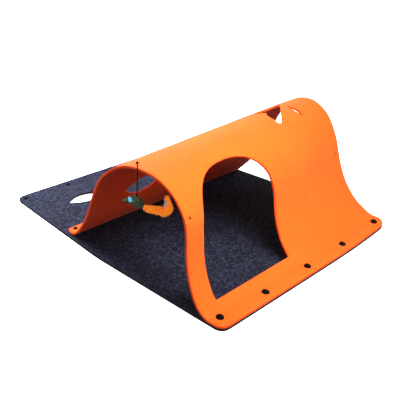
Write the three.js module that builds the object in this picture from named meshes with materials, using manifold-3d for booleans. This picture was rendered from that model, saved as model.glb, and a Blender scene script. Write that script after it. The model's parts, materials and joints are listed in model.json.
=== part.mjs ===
// A felt cat tunnel: a flat mat, an arched cover held to it by press studs, and a toy
// that hangs on a cord in the left mouth. Millimetres, +Z up, X from mouth to mouth.
import * as THREE from 'three';
import { mergeVertices } from 'three/addons/utils/BufferGeometryUtils.js';
import Module from 'manifold-3d';

const wasm = await Module();
wasm.setup();

// Felt sheets. Flat patterns have X from the left hem and Y, or along, from the front hem.
const WIDTH = 600;
const FELT = 5;
const GAP = 0.3;
const FRONT_LEFT_RADIUS = 18;
const FRONT_RIGHT_RADIUS = 34;
const MAT_BACK_CORNER_RADIUS = 25;
const COVER_BACK_CORNER_RADIUS = 12;
const MAT_LENGTH = 692;
const MAT_TAPER_START = 350;
const MAT_TAPER = 29;
const COVER_LENGTH = 743;
const COVER_TAPER_START = 555;
const COVER_TAPER = 20;
const COVER_COLUMNS = 8;
const COVER_ROWS = 60;
const CORNER_ROWS = 5;

// Height of the cover's middle surface where it lies on the mat, where along the felt its
// flat front hem ends and where its flat back hem begins
const LAID = FELT + GAP + FELT / 2;
const FRONT_HEM = 38;
const BACK_HEM = 725;

// The bent cover's middle surface: how far along the felt, then how far back from the
// front hem and up from the floor it is at the left and at the right mouth
const FOLDS = [
  { along: 0, leftBack: 0, leftUp: LAID, rightBack: 0, rightUp: LAID },
  { along: 18, leftBack: 18, leftUp: LAID, rightBack: 18, rightUp: LAID },
  { along: FRONT_HEM, leftBack: FRONT_HEM, leftUp: LAID, rightBack: FRONT_HEM, rightUp: LAID },
  { along: 50, leftBack: 49.4, leftUp: 12, rightBack: 49.5, rightUp: 15.5 },
  { along: 70, leftBack: 65.5, leftUp: 24.5, rightBack: 68.2, rightUp: 30.8 },
  { along: 95, leftBack: 79, leftUp: 46, rightBack: 89.9, rightUp: 43.1 },
  { along: 125, leftBack: 90, leftUp: 74, rightBack: 112, rightUp: 62.8 },
  { along: 165, leftBack: 98.5, leftUp: 113.5, rightBack: 136, rightUp: 95 },
  { along: 205, leftBack: 102, leftUp: 153.5, rightBack: 153.5, rightUp: 129.5 },
  { along: 235, leftBack: 108, leftUp: 183, rightBack: 163.5, rightUp: 157 },
  { along: 260, leftBack: 120.5, leftUp: 205, rightBack: 172, rightUp: 179.7 },
  { along: 290, leftBack: 142, leftUp: 225.5, rightBack: 186, rightUp: 205 },
  { along: 330, leftBack: 179, leftUp: 241.5, rightBack: 211, rightUp: 236.5 },
  { along: 375, leftBack: 224, leftUp: 245.7, rightBack: 250, rightUp: 256 },
  { along: 420, leftBack: 268, leftUp: 238, rightBack: 294, rightUp: 251 },
  { along: 465, leftBack: 308.5, leftUp: 217.5, rightBack: 329.5, rightUp: 225.5 },
  { along: 510, leftBack: 341, leftUp: 186, rightBack: 352.5, rightUp: 187.5 },
  { along: 560, leftBack: 364, leftUp: 141.5, rightBack: 369.5, rightUp: 141 },
  { along: 610, leftBack: 385, leftUp: 95.5, rightBack: 388, rightUp: 95 },
  { along: 650, leftBack: 405, leftUp: 60.5, rightBack: 408, rightUp: 62 },
  { along: 680, leftBack: 423, leftUp: 36.5, rightBack: 427, rightUp: 38 },
  { along: 705, leftBack: 441.5, leftUp: 16.5, rightBack: 445, rightUp: 17.5 },
  { along: 718, leftBack: 453.5, leftUp: 9.3, rightBack: 453.5, rightUp: 9.4 },
  { along: BACK_HEM, leftBack: 460.5, leftUp: LAID, rightBack: 460.5, rightUp: LAID },
  { along: COVER_LENGTH, leftBack: 479, leftUp: LAID, rightBack: 479, rightUp: LAID },
];

// How far the ridge rises between the mouths, and how high the arch is
const RIDGE_BOW = 2.6;
const ARCH_HEIGHT = 256;

// Cut-outs. A row runs across the felt from one x to another at its place along it.
const DOOR = {
  left: 49,
  right: 298,
  sillLeft: 47.5,
  sillRight: 282,
  sill: 63,
  spring: 195,
  crown: 316,
  fullness: 2.3,
};
const BACK_WINDOW = { x: 148.5, along: 581.5, halfLength: 52.5, halfWidth: 26.5 };
const MAT_LEAF = { x: 158, y: 588.5, halfLength: 49, halfWidth: 20.5 };
const TOP_HOLE = [
  { along: 344.5, from: 417, to: 421 },
  { along: 349, from: 408.5, to: 427 },
  { along: 361, from: 409.5, to: 442 },
  { along: 372, from: 409, to: 454.5 },
  { along: 384, from: 412, to: 468.5 },
  { along: 393, from: 424, to: 480 },
  { along: 399, from: 423, to: 488.5 },
  { along: 405, from: 414, to: 496 },
  { along: 416, from: 411, to: 511 },
  { along: 425, from: 416, to: 512 },
];
const SLIT = [
  { along: 343, from: 507, to: 509.5 },
  { along: 348, from: 503.5, to: 510.5 },
  { along: 358, from: 499, to: 510 },
  { along: 367, from: 497.3, to: 509.7 },
  { along: 376, from: 496.5, to: 507 },
  { along: 383, from: 499.5, to: 505.5 },
  { along: 388.5, from: 503, to: 505 },
];
const CORD_HOLE = { x: 20, along: 405, radius: 3.8 };
const SPARE_HOLES = [
  { x: 14.5, along: 240, radius: 2.4 },
  { x: 582, along: 228, radius: 2.4 },
];
const MAT_SPARE_HOLE = { x: 32, y: 511, radius: 2.4 };
const CUT_MARGIN = 2;
const ROUND_ROWS = 6;
const DOOR_SIDE_ROWS = 12;
const DOOR_ARCH_ROWS = 16;
const LEAF_ROWS = 14;
const MAT_CURVE_SEGMENTS = 6;

// Press studs, in rows of five: domed ones at the front, small flat ones at the back
const STUDS_PER_ROW = 5;
const DOMED_CAP = { radius: 7.8, topRadius: 5, height: 3.2, rimHeight: 1 };
const FLAT_CAP = { radius: 4.8, topRadius: 3.6, height: 1.4, rimHeight: 0.6 };
const STUD_POST = { radius: 2.5, floorGap: 0.6, slack: 0.4 };
const STUD_SIDES = 14;
const FRONT_STUDS = [
  { x: 25, along: 28 },
  { x: 155, along: 22 },
  { x: 300, along: 22 },
  { x: 438, along: 22 },
  { x: 575, along: 22 },
];
const FOOT_STUDS = studRow(36).map((x) => ({ x, along: 733.8 }));
const BACK_STUDS = studRow(44).map((x) => ({ x, y: 675 }));

// The cord, from the knot under the cover, through its hole, over the mouth's edge and down
const CORD_RADIUS = 1;
const CORD_SIDES = 8;
const CORD_STEPS = 44;
const CORD_EDGE = { x: 0, along: 384 };
const CORD_RISE = [
  { towards: -4.6, lift: -7.2 },
  { towards: -3.0, lift: -4.6 },
  { towards: -1.5, lift: -2.0 },
  { towards: 0.0, lift: 0.5 },
  { towards: 1.6, lift: 3.0 },
  { towards: 4.2, lift: 4.2 },
  { towards: 8, lift: 4.3 },
  { towards: 14, lift: 4.2 },
  { towards: 20, lift: 4.2 },
];
const EDGE_BEND = { radius: 4.2, x: 1.4, below: 2.3, slant: 1.05, angles: [90, 115, 140, 160, 180] };
const KNOT = { radius: 3, widthSegments: 10, heightSegments: 6 };

// The toy hangs on its tie point and faces across the left mouth. Its own x runs from
// nose to tail and its z is up, both from the tie point.
const TIE_HEIGHT = 192.4;
const TOY_TURN = THREE.MathUtils.degToRad(-47.3);
const HANG_POINTS = 4;
const HEAD_SIDES = 14;
const HEAD_SECTIONS = [
  { x: -26, top: -11.2, bottom: -12.4, half: 0.8 },
  { x: -22.9, top: -8.4, bottom: -13.6, half: 2.8 },
  { x: -17.9, top: -5.0, bottom: -15.6, half: 4.6 },
  { x: -11.4, top: -1.8, bottom: -18.2, half: 6.3 },
  { x: -4.9, top: 0, bottom: -20.8, half: 7.2 },
  { x: 1.6, top: -0.8, bottom: -23.4, half: 7.2 },
  { x: 7.1, top: -4.2, bottom: -25.6, half: 6.2 },
  { x: 11, top: -9.2, bottom: -26.8, half: 4.4 },
  { x: 12.8, top: -13.4, bottom: -26.0, half: 2.4 },
];
const EYE = { x: -11.5, side: 5, width: 4.2, height: 5.8, depth: 4, segments: 14, rings: 8 };
const NEAR_EYE_Z = -5.6;
const FAR_EYE_Z = -10.6;
const TAIL_SIDES = 8;
const TAIL_SECTIONS = [
  { x: 13.5, z: -21.4, radius: 4 },
  { x: 21.4, z: -25.4, radius: 6.5 },
  { x: 32.3, z: -27.2, radius: 6.8 },
  { x: 43.2, z: -28.2, radius: 7.6 },
  { x: 52.6, z: -29.8, radius: 9.4 },
  { x: 61.3, z: -22.6, radius: 7 },
  { x: 60.4, z: -13.7, radius: 3.8 },
  { x: 58.6, z: -4.8, radius: 3 },
  { x: 56.4, z: 2, radius: 2 },
];
const TUFT = { count: 96, radius: 1.5, length: 5.2, root: 2.2, sides: 4, sweep: 0.55, firstSection: 0.5 };
const GOLDEN_ANGLE = Math.PI * (3 - Math.sqrt(5));

const HALF_CUT = FELT / 2 + CUT_MARGIN;
const SLOPE_STEP = 0.5;
const TIP_SHARE = 0.985;

const orangeFelt = new THREE.MeshStandardMaterial({ color: 0xf47b20, roughness: 0.95, metalness: 0 });
const greyFelt = new THREE.MeshStandardMaterial({ color: 0x2f3242, roughness: 0.95, metalness: 0 });
const studPlastic = new THREE.MeshStandardMaterial({ color: 0x111114, roughness: 0.4, metalness: 0 });
const cordYarn = new THREE.MeshStandardMaterial({ color: 0x15120f, roughness: 0.8, metalness: 0 });
const greenFelt = new THREE.MeshStandardMaterial({ color: 0x4c6348, roughness: 0.95, metalness: 0 });
const eyeBead = new THREE.MeshStandardMaterial({ color: 0x35c3ee, roughness: 0.25, metalness: 0 });
const tailFluff = new THREE.MeshStandardMaterial({ color: 0xf07a12, roughness: 1, metalness: 0 });

const folds = new THREE.CubicInterpolant(
  FOLDS.map((fold) => fold.along),
  FOLDS.flatMap((fold) => [fold.leftBack, fold.leftUp, fold.rightBack, fold.rightUp]),
  4,
  new Float64Array(4),
);

// A point of the bent cover's middle surface. Lines across the felt bow up a little at the ridge.
function middleOfCover(x, along) {
  const [leftBack, leftUp, rightBack, rightUp] = folds.evaluate(along);
  const share = x / WIDTH;
  const straight = THREE.MathUtils.lerp(leftUp, rightUp, share);
  const rise = (straight - LAID) / (ARCH_HEIGHT - LAID);
  const bow = RIDGE_BOW * (1 - (2 * share - 1) ** 4) * rise ** 2;
  const up = Math.max(straight + bow, LAID);
  return new THREE.Vector3(x, THREE.MathUtils.lerp(leftBack, rightBack, share), up);
}

// A point of the flat pattern after bending, lifted off the middle surface
function bend(x, along, lift) {
  const across = middleOfCover(x + SLOPE_STEP, along).sub(middleOfCover(x - SLOPE_STEP, along));
  const onwards = middleOfCover(x, along + SLOPE_STEP).sub(middleOfCover(x, along - SLOPE_STEP));
  return middleOfCover(x, along).addScaledVector(across.cross(onwards).normalize(), lift);
}

// A closed geometry from points and triangles
function indexedGeometry(points, triangles) {
  const geometry = new THREE.BufferGeometry().setFromPoints(points);
  geometry.setIndex(triangles);
  return geometry;
}

// A closed slab on the cover's curve, between two lifts, with a row of points for each row
function bentSlab(rows, columns, low, high) {
  const points = [];
  for (const lift of [low, high]) {
    for (const row of rows) {
      for (let column = 0; column <= columns; column += 1) {
        const x = THREE.MathUtils.lerp(row.from, row.to, column / columns);
        points.push(bend(x, row.along, lift));
      }
    }
  }
  const stride = columns + 1;
  const layer = rows.length * stride;
  const last = rows.length - 1;
  const triangles = [];
  for (let r = 0; r < last; r += 1) {
    for (let c = 0; c < columns; c += 1) {
      const [a, b] = [r * stride + c, r * stride + c + 1];
      const [d, e] = [a + stride, b + stride];
      triangles.push(a, e, b, a, d, e);
      triangles.push(a + layer, b + layer, e + layer, a + layer, e + layer, d + layer);
    }
  }
  const rim = [];
  for (let c = 0; c < columns; c += 1) rim.push(c);
  for (let r = 0; r < last; r += 1) rim.push(r * stride + columns);
  for (let c = columns; c > 0; c -= 1) rim.push(last * stride + c);
  for (let r = last; r > 0; r -= 1) rim.push(r * stride);
  rim.forEach((start, index) => {
    const end = rim[(index + 1) % rim.length];
    triangles.push(start, end, end + layer, start, end + layer, start + layer);
  });
  return indexedGeometry(points, triangles);
}

// A closed skin over elliptic sections that follow one another in the toy's x, z plane
function loft(sections, sides) {
  const points = [];
  for (const section of sections) {
    for (let side = 0; side < sides; side += 1) {
      const turn = (2 * Math.PI * side) / sides;
      const out = section.high * Math.cos(turn);
      const x = section.x - out * Math.sin(section.lean);
      const z = section.z + out * Math.cos(section.lean);
      points.push(new THREE.Vector3(x, -section.wide * Math.sin(turn), z));
    }
  }
  const first = points.length;
  const ends = [sections[0], sections[sections.length - 1]];
  ends.forEach((section) => points.push(new THREE.Vector3(section.x, 0, section.z)));
  const lastRing = (sections.length - 1) * sides;
  const triangles = [];
  for (let side = 0; side < sides; side += 1) {
    const next = (side + 1) % sides;
    for (let ring = 0; ring < lastRing; ring += sides) {
      const [a, b] = [ring + side, ring + next];
      triangles.push(a, b, b + sides, a, b + sides, a + sides);
    }
    triangles.push(first, next, side, first + 1, lastRing + side, lastRing + next);
  }
  return indexedGeometry(points, triangles);
}

// A three.js geometry as a solid that can be joined and cut
function solidOf(geometry) {
  const bare = geometry.clone();
  bare.deleteAttribute('normal');
  bare.deleteAttribute('uv');
  const merged = mergeVertices(bare);
  return new wasm.Manifold(new wasm.Mesh({
    numProp: 3,
    vertProperties: new Float32Array(merged.attributes.position.array),
    triVerts: new Uint32Array(merged.index.array),
  }));
}

// A joined or cut solid as a three.js geometry
function geometryOf(solid) {
  const mesh = solid.getMesh();
  const geometry = new THREE.BufferGeometry();
  geometry.setAttribute('position', new THREE.BufferAttribute(new Float32Array(mesh.vertProperties), 3));
  geometry.setIndex(new THREE.BufferAttribute(new Uint32Array(mesh.triVerts), 1));
  geometry.computeVertexNormals();
  return geometry;
}

function addMesh(parent, name, geometry, material) {
  const mesh = new THREE.Mesh(geometry, material);
  mesh.name = name;
  parent.add(mesh);
  return mesh;
}

// Places from a hem over the arc of its rounded corners
function cornerPlaces(radius) {
  const turns = Array.from({ length: CORNER_ROWS + 1 }, (_, step) => (step / CORNER_ROWS) * (Math.PI / 2));
  return turns.map((turn) => radius * (1 - Math.cos(turn)));
}

// How far a corner's arc draws the side in at a distance from the hem
function cornerInset(distance, radius) {
  const short = Math.max(radius - distance, 0);
  return radius - Math.sqrt(radius ** 2 - short ** 2);
}

// The cover's outline as rows across the felt: rounded corners, and a taper to the back hem
function coverRows() {
  const places = cornerPlaces(FRONT_RIGHT_RADIUS);
  for (let row = 0; row <= COVER_ROWS; row += 1) {
    places.push(THREE.MathUtils.lerp(FRONT_HEM, BACK_HEM, row / COVER_ROWS));
  }
  places.push(...cornerPlaces(COVER_BACK_CORNER_RADIUS).map((place) => COVER_LENGTH - place).reverse());
  return places.map((along) => {
    const taper = THREE.MathUtils.mapLinear(along, COVER_TAPER_START, COVER_LENGTH, 0, COVER_TAPER);
    const inset = Math.max(taper, 0) + cornerInset(COVER_LENGTH - along, COVER_BACK_CORNER_RADIUS);
    return {
      along,
      from: inset + cornerInset(along, FRONT_LEFT_RADIUS),
      to: WIDTH - inset - cornerInset(along, FRONT_RIGHT_RADIUS),
    };
  });
}

// The door: a straight sill and sides under a full arch
function doorRows() {
  const centre = (DOOR.left + DOOR.right) / 2;
  const half = (DOOR.right - DOOR.left) / 2;
  const rows = [];
  for (let step = 0; step < DOOR_SIDE_ROWS; step += 1) {
    const share = step / DOOR_SIDE_ROWS;
    rows.push({
      along: THREE.MathUtils.lerp(DOOR.sill, DOOR.spring, share),
      from: THREE.MathUtils.lerp(DOOR.sillLeft, DOOR.left, share),
      to: THREE.MathUtils.lerp(DOOR.sillRight, DOOR.right, share),
    });
  }
  for (let step = 0; step < DOOR_ARCH_ROWS; step += 1) {
    const rise = Math.sin((step / DOOR_ARCH_ROWS) * (Math.PI / 2));
    const reach = half * (1 - rise ** DOOR.fullness) ** (1 / DOOR.fullness);
    const along = THREE.MathUtils.lerp(DOOR.spring, DOOR.crown, rise);
    rows.push({ along, from: centre - reach, to: centre + reach });
  }
  return rows;
}

// A leaf with its two points across the felt
function leafRows({ x, along, halfLength, halfWidth }) {
  const rows = [];
  for (let step = 0; step <= LEAF_ROWS; step += 1) {
    const share = TIP_SHARE * Math.sin((step / LEAF_ROWS - 0.5) * Math.PI);
    const reach = halfLength * Math.sqrt(1 - Math.abs(share));
    rows.push({ along: along + halfWidth * share, from: x - reach, to: x + reach });
  }
  return rows;
}

// A round hole
function roundRows({ x, along, radius }) {
  const rows = [];
  for (let step = 0; step < ROUND_ROWS; step += 1) {
    const turn = ((step + 0.5) / ROUND_ROWS) * Math.PI;
    const reach = radius * Math.sin(turn);
    rows.push({ along: along - radius * Math.cos(turn), from: x - reach, to: x + reach });
  }
  return rows;
}

// The x places of a row of studs, even across the felt from the first one's place
function studRow(first) {
  const pitch = (WIDTH - 2 * first) / (STUDS_PER_ROW - 1);
  return Array.from({ length: STUDS_PER_ROW }, (_, index) => first + index * pitch);
}

// Where studs through the cover stand on the mat
function onMat(studs) {
  return studs.map(({ x, along }) => ({ x, y: middleOfCover(x, along).y }));
}

function makeCover() {
  const radius = STUD_POST.radius + STUD_POST.slack;
  const cuts = [doorRows(), leafRows(BACK_WINDOW), TOP_HOLE, SLIT, roundRows(CORD_HOLE)];
  SPARE_HOLES.forEach((hole) => cuts.push(roundRows(hole)));
  [...FRONT_STUDS, ...FOOT_STUDS].forEach(({ x, along }) => cuts.push(roundRows({ x, along, radius })));
  let cover = solidOf(bentSlab(coverRows(), COVER_COLUMNS, -FELT / 2, FELT / 2));
  for (const rows of cuts) cover = cover.subtract(solidOf(bentSlab(rows, 1, -HALF_CUT, HALF_CUT)));
  return geometryOf(cover);
}

// The mat's outline, rounded at its four corners
function matShape() {
  const corners = [
    { place: new THREE.Vector2(0, 0), reach: FRONT_LEFT_RADIUS },
    { place: new THREE.Vector2(WIDTH, 0), reach: FRONT_RIGHT_RADIUS },
    { place: new THREE.Vector2(WIDTH, MAT_TAPER_START), reach: MAT_BACK_CORNER_RADIUS },
    { place: new THREE.Vector2(WIDTH - MAT_TAPER, MAT_LENGTH), reach: MAT_BACK_CORNER_RADIUS },
    { place: new THREE.Vector2(MAT_TAPER, MAT_LENGTH), reach: MAT_BACK_CORNER_RADIUS },
    { place: new THREE.Vector2(0, MAT_TAPER_START), reach: MAT_BACK_CORNER_RADIUS },
  ];
  const towards = (from, to, reach) => from.clone().addScaledVector(to.clone().sub(from).normalize(), reach);
  const shape = new THREE.Shape();
  corners.forEach(({ place, reach }, index) => {
    const before = corners[(index + corners.length - 1) % corners.length].place;
    const after = corners[(index + 1) % corners.length].place;
    const [start, end] = [towards(place, before, reach), towards(place, after, reach)];
    if (index === 0) shape.moveTo(start.x, start.y);
    else shape.lineTo(start.x, start.y);
    shape.quadraticCurveTo(place.x, place.y, end.x, end.y);
  });
  shape.closePath();
  return shape;
}

function leafPath({ x, y, halfLength, halfWidth }) {
  const path = new THREE.Path();
  path.moveTo(x - halfLength, y);
  path.quadraticCurveTo(x, y + 2 * halfWidth, x + halfLength, y);
  path.quadraticCurveTo(x, y - 2 * halfWidth, x - halfLength, y);
  return path;
}

function makeMat() {
  const shape = matShape();
  const drill = (x, y, radius) => shape.holes.push(new THREE.Path().absarc(x, y, radius, 0, 2 * Math.PI));
  shape.holes.push(leafPath(MAT_LEAF));
  drill(MAT_SPARE_HOLE.x, MAT_SPARE_HOLE.y, MAT_SPARE_HOLE.radius);
  const places = [...onMat(FRONT_STUDS), ...onMat(FOOT_STUDS), ...BACK_STUDS];
  places.forEach(({ x, y }) => drill(x, y, STUD_POST.radius + STUD_POST.slack));
  const settings = { depth: FELT, bevelEnabled: false, curveSegments: MAT_CURVE_SEGMENTS };
  return new THREE.ExtrudeGeometry(shape, settings);
}

// A press stud: a cap on a post that goes down through the felt
function studGeometry(cap, seat) {
  const foot = seat + GAP;
  const profile = [
    new THREE.Vector2(0, STUD_POST.floorGap),
    new THREE.Vector2(STUD_POST.radius, STUD_POST.floorGap),
    new THREE.Vector2(STUD_POST.radius, foot),
    new THREE.Vector2(cap.radius, foot),
    new THREE.Vector2(cap.radius, foot + cap.rimHeight),
    new THREE.Vector2(cap.topRadius, foot + cap.height),
    new THREE.Vector2(0, foot + cap.height),
  ];
  return new THREE.LatheGeometry(profile, STUD_SIDES).rotateX(Math.PI / 2);
}

function addStuds(parent, name, places, cap, seat) {
  places.forEach(({ x, y }, index) => {
    addMesh(parent, `${name}_${index + 1}`, studGeometry(cap, seat), studPlastic).position.set(x, y, 0);
  });
}

// The cord's route, and the tie point where it ends
function cordRoute() {
  const hole = new THREE.Vector2(CORD_HOLE.x, CORD_HOLE.along);
  const course = new THREE.Vector2(CORD_EDGE.x, CORD_EDGE.along).sub(hole).normalize();
  const points = CORD_RISE.map(({ towards, lift }) => {
    const place = hole.clone().addScaledVector(course, towards);
    return bend(place.x, place.y, lift);
  });
  const edge = bend(CORD_EDGE.x, CORD_EDGE.along, FELT / 2);
  for (const degrees of EDGE_BEND.angles) {
    const turn = THREE.MathUtils.degToRad(degrees);
    const x = EDGE_BEND.x + EDGE_BEND.radius * Math.cos(turn);
    const z = edge.z - EDGE_BEND.below + EDGE_BEND.radius * Math.sin(turn);
    points.push(new THREE.Vector3(x, edge.y + EDGE_BEND.slant * x, z));
  }
  const top = points[points.length - 1];
  const tie = new THREE.Vector3(top.x, top.y, TIE_HEIGHT);
  const end = tie.z + GAP;
  for (let step = 1; step <= HANG_POINTS; step += 1) {
    points.push(new THREE.Vector3(top.x, top.y, THREE.MathUtils.lerp(top.z, end, step / HANG_POINTS)));
  }
  return { points, tie };
}

function makeCord(points) {
  const section = new THREE.Shape();
  for (let side = 0; side < CORD_SIDES; side += 1) {
    const turn = (2 * Math.PI * side) / CORD_SIDES;
    const [x, y] = [CORD_RADIUS * Math.cos(turn), CORD_RADIUS * Math.sin(turn)];
    if (side === 0) section.moveTo(x, y);
    else section.lineTo(x, y);
  }
  section.closePath();
  const settings = { steps: CORD_STEPS, extrudePath: new THREE.CatmullRomCurve3(points) };
  const knot = new THREE.SphereGeometry(KNOT.radius, KNOT.widthSegments, KNOT.heightSegments);
  knot.translate(points[0].x, points[0].y, points[0].z);
  return geometryOf(solidOf(new THREE.ExtrudeGeometry(section, settings)).add(solidOf(knot)));
}

// The stuffed head, let out all round for what has to clear it
function headGeometry(spare) {
  const sections = HEAD_SECTIONS.map(({ x, top, bottom, half }) => ({
    x,
    z: (top + bottom) / 2,
    high: (top - bottom) / 2 + spare,
    wide: half + spare,
    lean: 0,
  }));
  return loft(sections, HEAD_SIDES);
}

function eyeGeometry(side, z) {
  const bead = new THREE.SphereGeometry(1, EYE.segments, EYE.rings);
  bead.scale(EYE.width, EYE.depth, EYE.height);
  bead.translate(EYE.x, side * EYE.side, z);
  return geometryOf(solidOf(bead).subtract(solidOf(headGeometry(GAP))));
}

// The tail's core, then tufts that stand out of it and sweep towards its tip
function tailGeometry() {
  const spine = new THREE.CatmullRomCurve3(TAIL_SECTIONS.map(({ x, z }) => new THREE.Vector3(x, 0, z)));
  const lastSection = TAIL_SECTIONS.length - 1;
  const sections = TAIL_SECTIONS.map(({ x, z, radius }, index) => {
    const heading = index === 0 ? new THREE.Vector3(1, 0, 0) : spine.getTangent(index / lastSection);
    return { x, z, high: radius, wide: radius, lean: Math.atan2(heading.z, heading.x) };
  });
  let tail = solidOf(loft(sections, TAIL_SIDES));
  for (let index = 0; index < TUFT.count; index += 1) {
    const place = THREE.MathUtils.lerp(TUFT.firstSection, lastSection, index / (TUFT.count - 1));
    const section = Math.min(Math.floor(place), lastSection - 1);
    const [start, end] = [TAIL_SECTIONS[section], TAIL_SECTIONS[section + 1]];
    const radius = THREE.MathUtils.lerp(start.radius, end.radius, place - section);
    const heading = spine.getTangent(place / lastSection);
    const upwards = new THREE.Vector3(-heading.z, 0, heading.x);
    const outwards = upwards.applyAxisAngle(heading, index * GOLDEN_ANGLE);
    const foot = spine.getPoint(place / lastSection).addScaledVector(outwards, radius - TUFT.root);
    const lie = outwards.addScaledVector(heading, TUFT.sweep).normalize();
    const tuft = new THREE.ConeGeometry(TUFT.radius, TUFT.length, TUFT.sides);
    tuft.translate(0, TUFT.length / 2, 0);
    tuft.applyQuaternion(new THREE.Quaternion().setFromUnitVectors(new THREE.Vector3(0, 1, 0), lie));
    tuft.translate(foot.x, foot.y, foot.z);
    tail = tail.add(solidOf(tuft));
  }
  return geometryOf(tail);
}

function makeToy(tie) {
  const toy = new THREE.Group();
  toy.position.copy(tie);
  toy.rotation.z = TOY_TURN;
  addMesh(toy, 'toy_head', headGeometry(0), greenFelt);
  addMesh(toy, 'toy_eye_near', eyeGeometry(-1, NEAR_EYE_Z), eyeBead);
  addMesh(toy, 'toy_eye_far', eyeGeometry(1, FAR_EYE_Z), eyeBead);
  addMesh(toy, 'toy_tail', tailGeometry(), tailFluff);
  return toy;
}

const tunnel = new THREE.Group();
tunnel.position.set(-WIDTH / 2, -MAT_LENGTH / 2, 0);
addMesh(tunnel, 'base_mat', makeMat(), greyFelt);
addMesh(tunnel, 'tunnel_cover', makeCover(), orangeFelt);
addStuds(tunnel, 'front_stud', onMat(FRONT_STUDS), DOMED_CAP, LAID + FELT / 2);
addStuds(tunnel, 'foot_stud', onMat(FOOT_STUDS), FLAT_CAP, LAID + FELT / 2);
addStuds(tunnel, 'back_stud', BACK_STUDS, FLAT_CAP, FELT);
const route = cordRoute();
addMesh(tunnel, 'toy_cord', makeCord(route.points), cordYarn);
tunnel.add(makeToy(route.tie));

const part = new THREE.Group();
part.add(tunnel);

export default part;
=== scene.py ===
"""Looks of a felt cat tunnel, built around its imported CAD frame.

A cover of orange needled felt is bent over a grey felt mat and held to it by press studs. A small
stuffed toy hangs on a cord in the left mouth. Everything is in metres, in the CAD frame: +X runs from
the toy's mouth to the other one, +Y from the front hem to the back of the mat, and +Z is up. A flat
pattern has its origin at the left end of the front hem, x along the hem and y, or along, away from it.
"""

from __future__ import annotations

import json
import logging
import math
from dataclasses import dataclass, field
from enum import Enum
from typing import Any, Sequence

import bpy
import numpy as np
from mathutils import Matrix, Vector
from mathutils.geometry import delaunay_2d_cdt
from mathutils.kdtree import KDTree

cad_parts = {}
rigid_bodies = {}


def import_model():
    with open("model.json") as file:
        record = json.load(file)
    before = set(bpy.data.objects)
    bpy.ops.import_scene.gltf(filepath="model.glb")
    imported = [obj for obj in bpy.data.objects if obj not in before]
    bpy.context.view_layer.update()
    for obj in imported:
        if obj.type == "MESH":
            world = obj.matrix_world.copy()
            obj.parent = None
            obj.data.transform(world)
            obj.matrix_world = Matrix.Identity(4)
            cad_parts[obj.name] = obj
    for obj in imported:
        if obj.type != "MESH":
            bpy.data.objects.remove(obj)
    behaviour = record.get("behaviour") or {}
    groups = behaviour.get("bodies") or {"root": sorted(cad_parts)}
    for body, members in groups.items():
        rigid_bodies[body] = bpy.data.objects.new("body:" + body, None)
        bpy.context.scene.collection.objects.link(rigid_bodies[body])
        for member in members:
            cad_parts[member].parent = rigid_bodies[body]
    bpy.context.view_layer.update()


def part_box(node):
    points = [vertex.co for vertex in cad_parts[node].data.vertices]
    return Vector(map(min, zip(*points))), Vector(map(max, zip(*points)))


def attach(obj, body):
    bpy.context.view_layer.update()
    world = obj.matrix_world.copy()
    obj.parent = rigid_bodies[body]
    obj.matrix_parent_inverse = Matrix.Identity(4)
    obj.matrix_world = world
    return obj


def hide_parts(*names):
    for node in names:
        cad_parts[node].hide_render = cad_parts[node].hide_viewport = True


LOG = logging.getLogger("cat_tunnel")
BODY = "root"
RIM_VALUE = "cut_rim"
UNDER_VALUE = "underside"
TONE_VALUE = "tone"
# Rim tones: plain cut rims, and rims painted darker as shade.
PLAIN_RIM = 1.0
SHADE_PAINTED_RIM = 2.0
HALF = 0.5
FULL_TURN = 2 * math.pi
GOLDEN_ANGLE = math.pi * (3 - math.sqrt(5))
ALONG_Y = np.array([0.0, 1.0, 0.0])
STUDS_PER_ROW = 5
MATRIX_SIZE = 4

# Blender's own numbers for a kind of triangulation, a search's result and sockets that share a name.
INSIDE_EDGES = 1
FOUND_AWAY = 2
MIX_SHARE, MIX_FIRST, MIX_SECOND, MIX_RESULT = 0, 6, 7, 2
OBJECT_PLACE = 3
FLOAT_VALUE = 2

Points = np.ndarray
Pair = tuple[float, float]
Triple = tuple[float, float, float]
Colour = tuple[float, float, float, float]
WHITE: Colour = (1.0, 1.0, 1.0, 1.0)


class Slot(Enum):
    """The record's material slots."""

    ORANGE_FELT = "orange_felt"
    GREY_FELT = "grey_felt"
    STUD_PLASTIC = "stud_plastic"
    CORD_YARN = "cord_yarn"
    GREEN_FELT = "green_felt"
    EYE_BEAD = "eye_bead"
    TAIL_FLUFF = "tail_fluff"


class Wire:
    """A node's output that takes part in Python arithmetic. Each operation adds a Math node."""

    def __init__(self, shader: Shader, socket: bpy.types.NodeSocket) -> None:
        """Wraps one output socket of a shader's node."""
        self.shader = shader
        self.socket = socket

    def _math(self, operation: str, first: Wire | float, second: Wire | float) -> Wire:
        """Adds a Math node on two values."""
        return self.shader.node("ShaderNodeMath", {"operation": operation}, {0: first, 1: second})

    def __add__(self, other: Wire | float) -> Wire:
        """The sum of two values."""
        return self._math("ADD", self, other)

    def __radd__(self, other: float) -> Wire:
        """The sum, with a number first."""
        return self._math("ADD", other, self)

    def __sub__(self, other: Wire | float) -> Wire:
        """The difference of two values."""
        return self._math("SUBTRACT", self, other)

    def __rsub__(self, other: float) -> Wire:
        """The difference, with a number first."""
        return self._math("SUBTRACT", other, self)

    def __mul__(self, other: Wire | float) -> Wire:
        """The product of two values."""
        return self._math("MULTIPLY", self, other)

    def __rmul__(self, other: float) -> Wire:
        """The product, with a number first."""
        return self._math("MULTIPLY", other, self)


@dataclass(frozen=True)
class Grain:
    """Fractal noise: its features per metre, levels of detail, roughness and distortion."""

    scale: float
    detail: float
    rough: float = 0.6
    warp: float = 0.0


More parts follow.
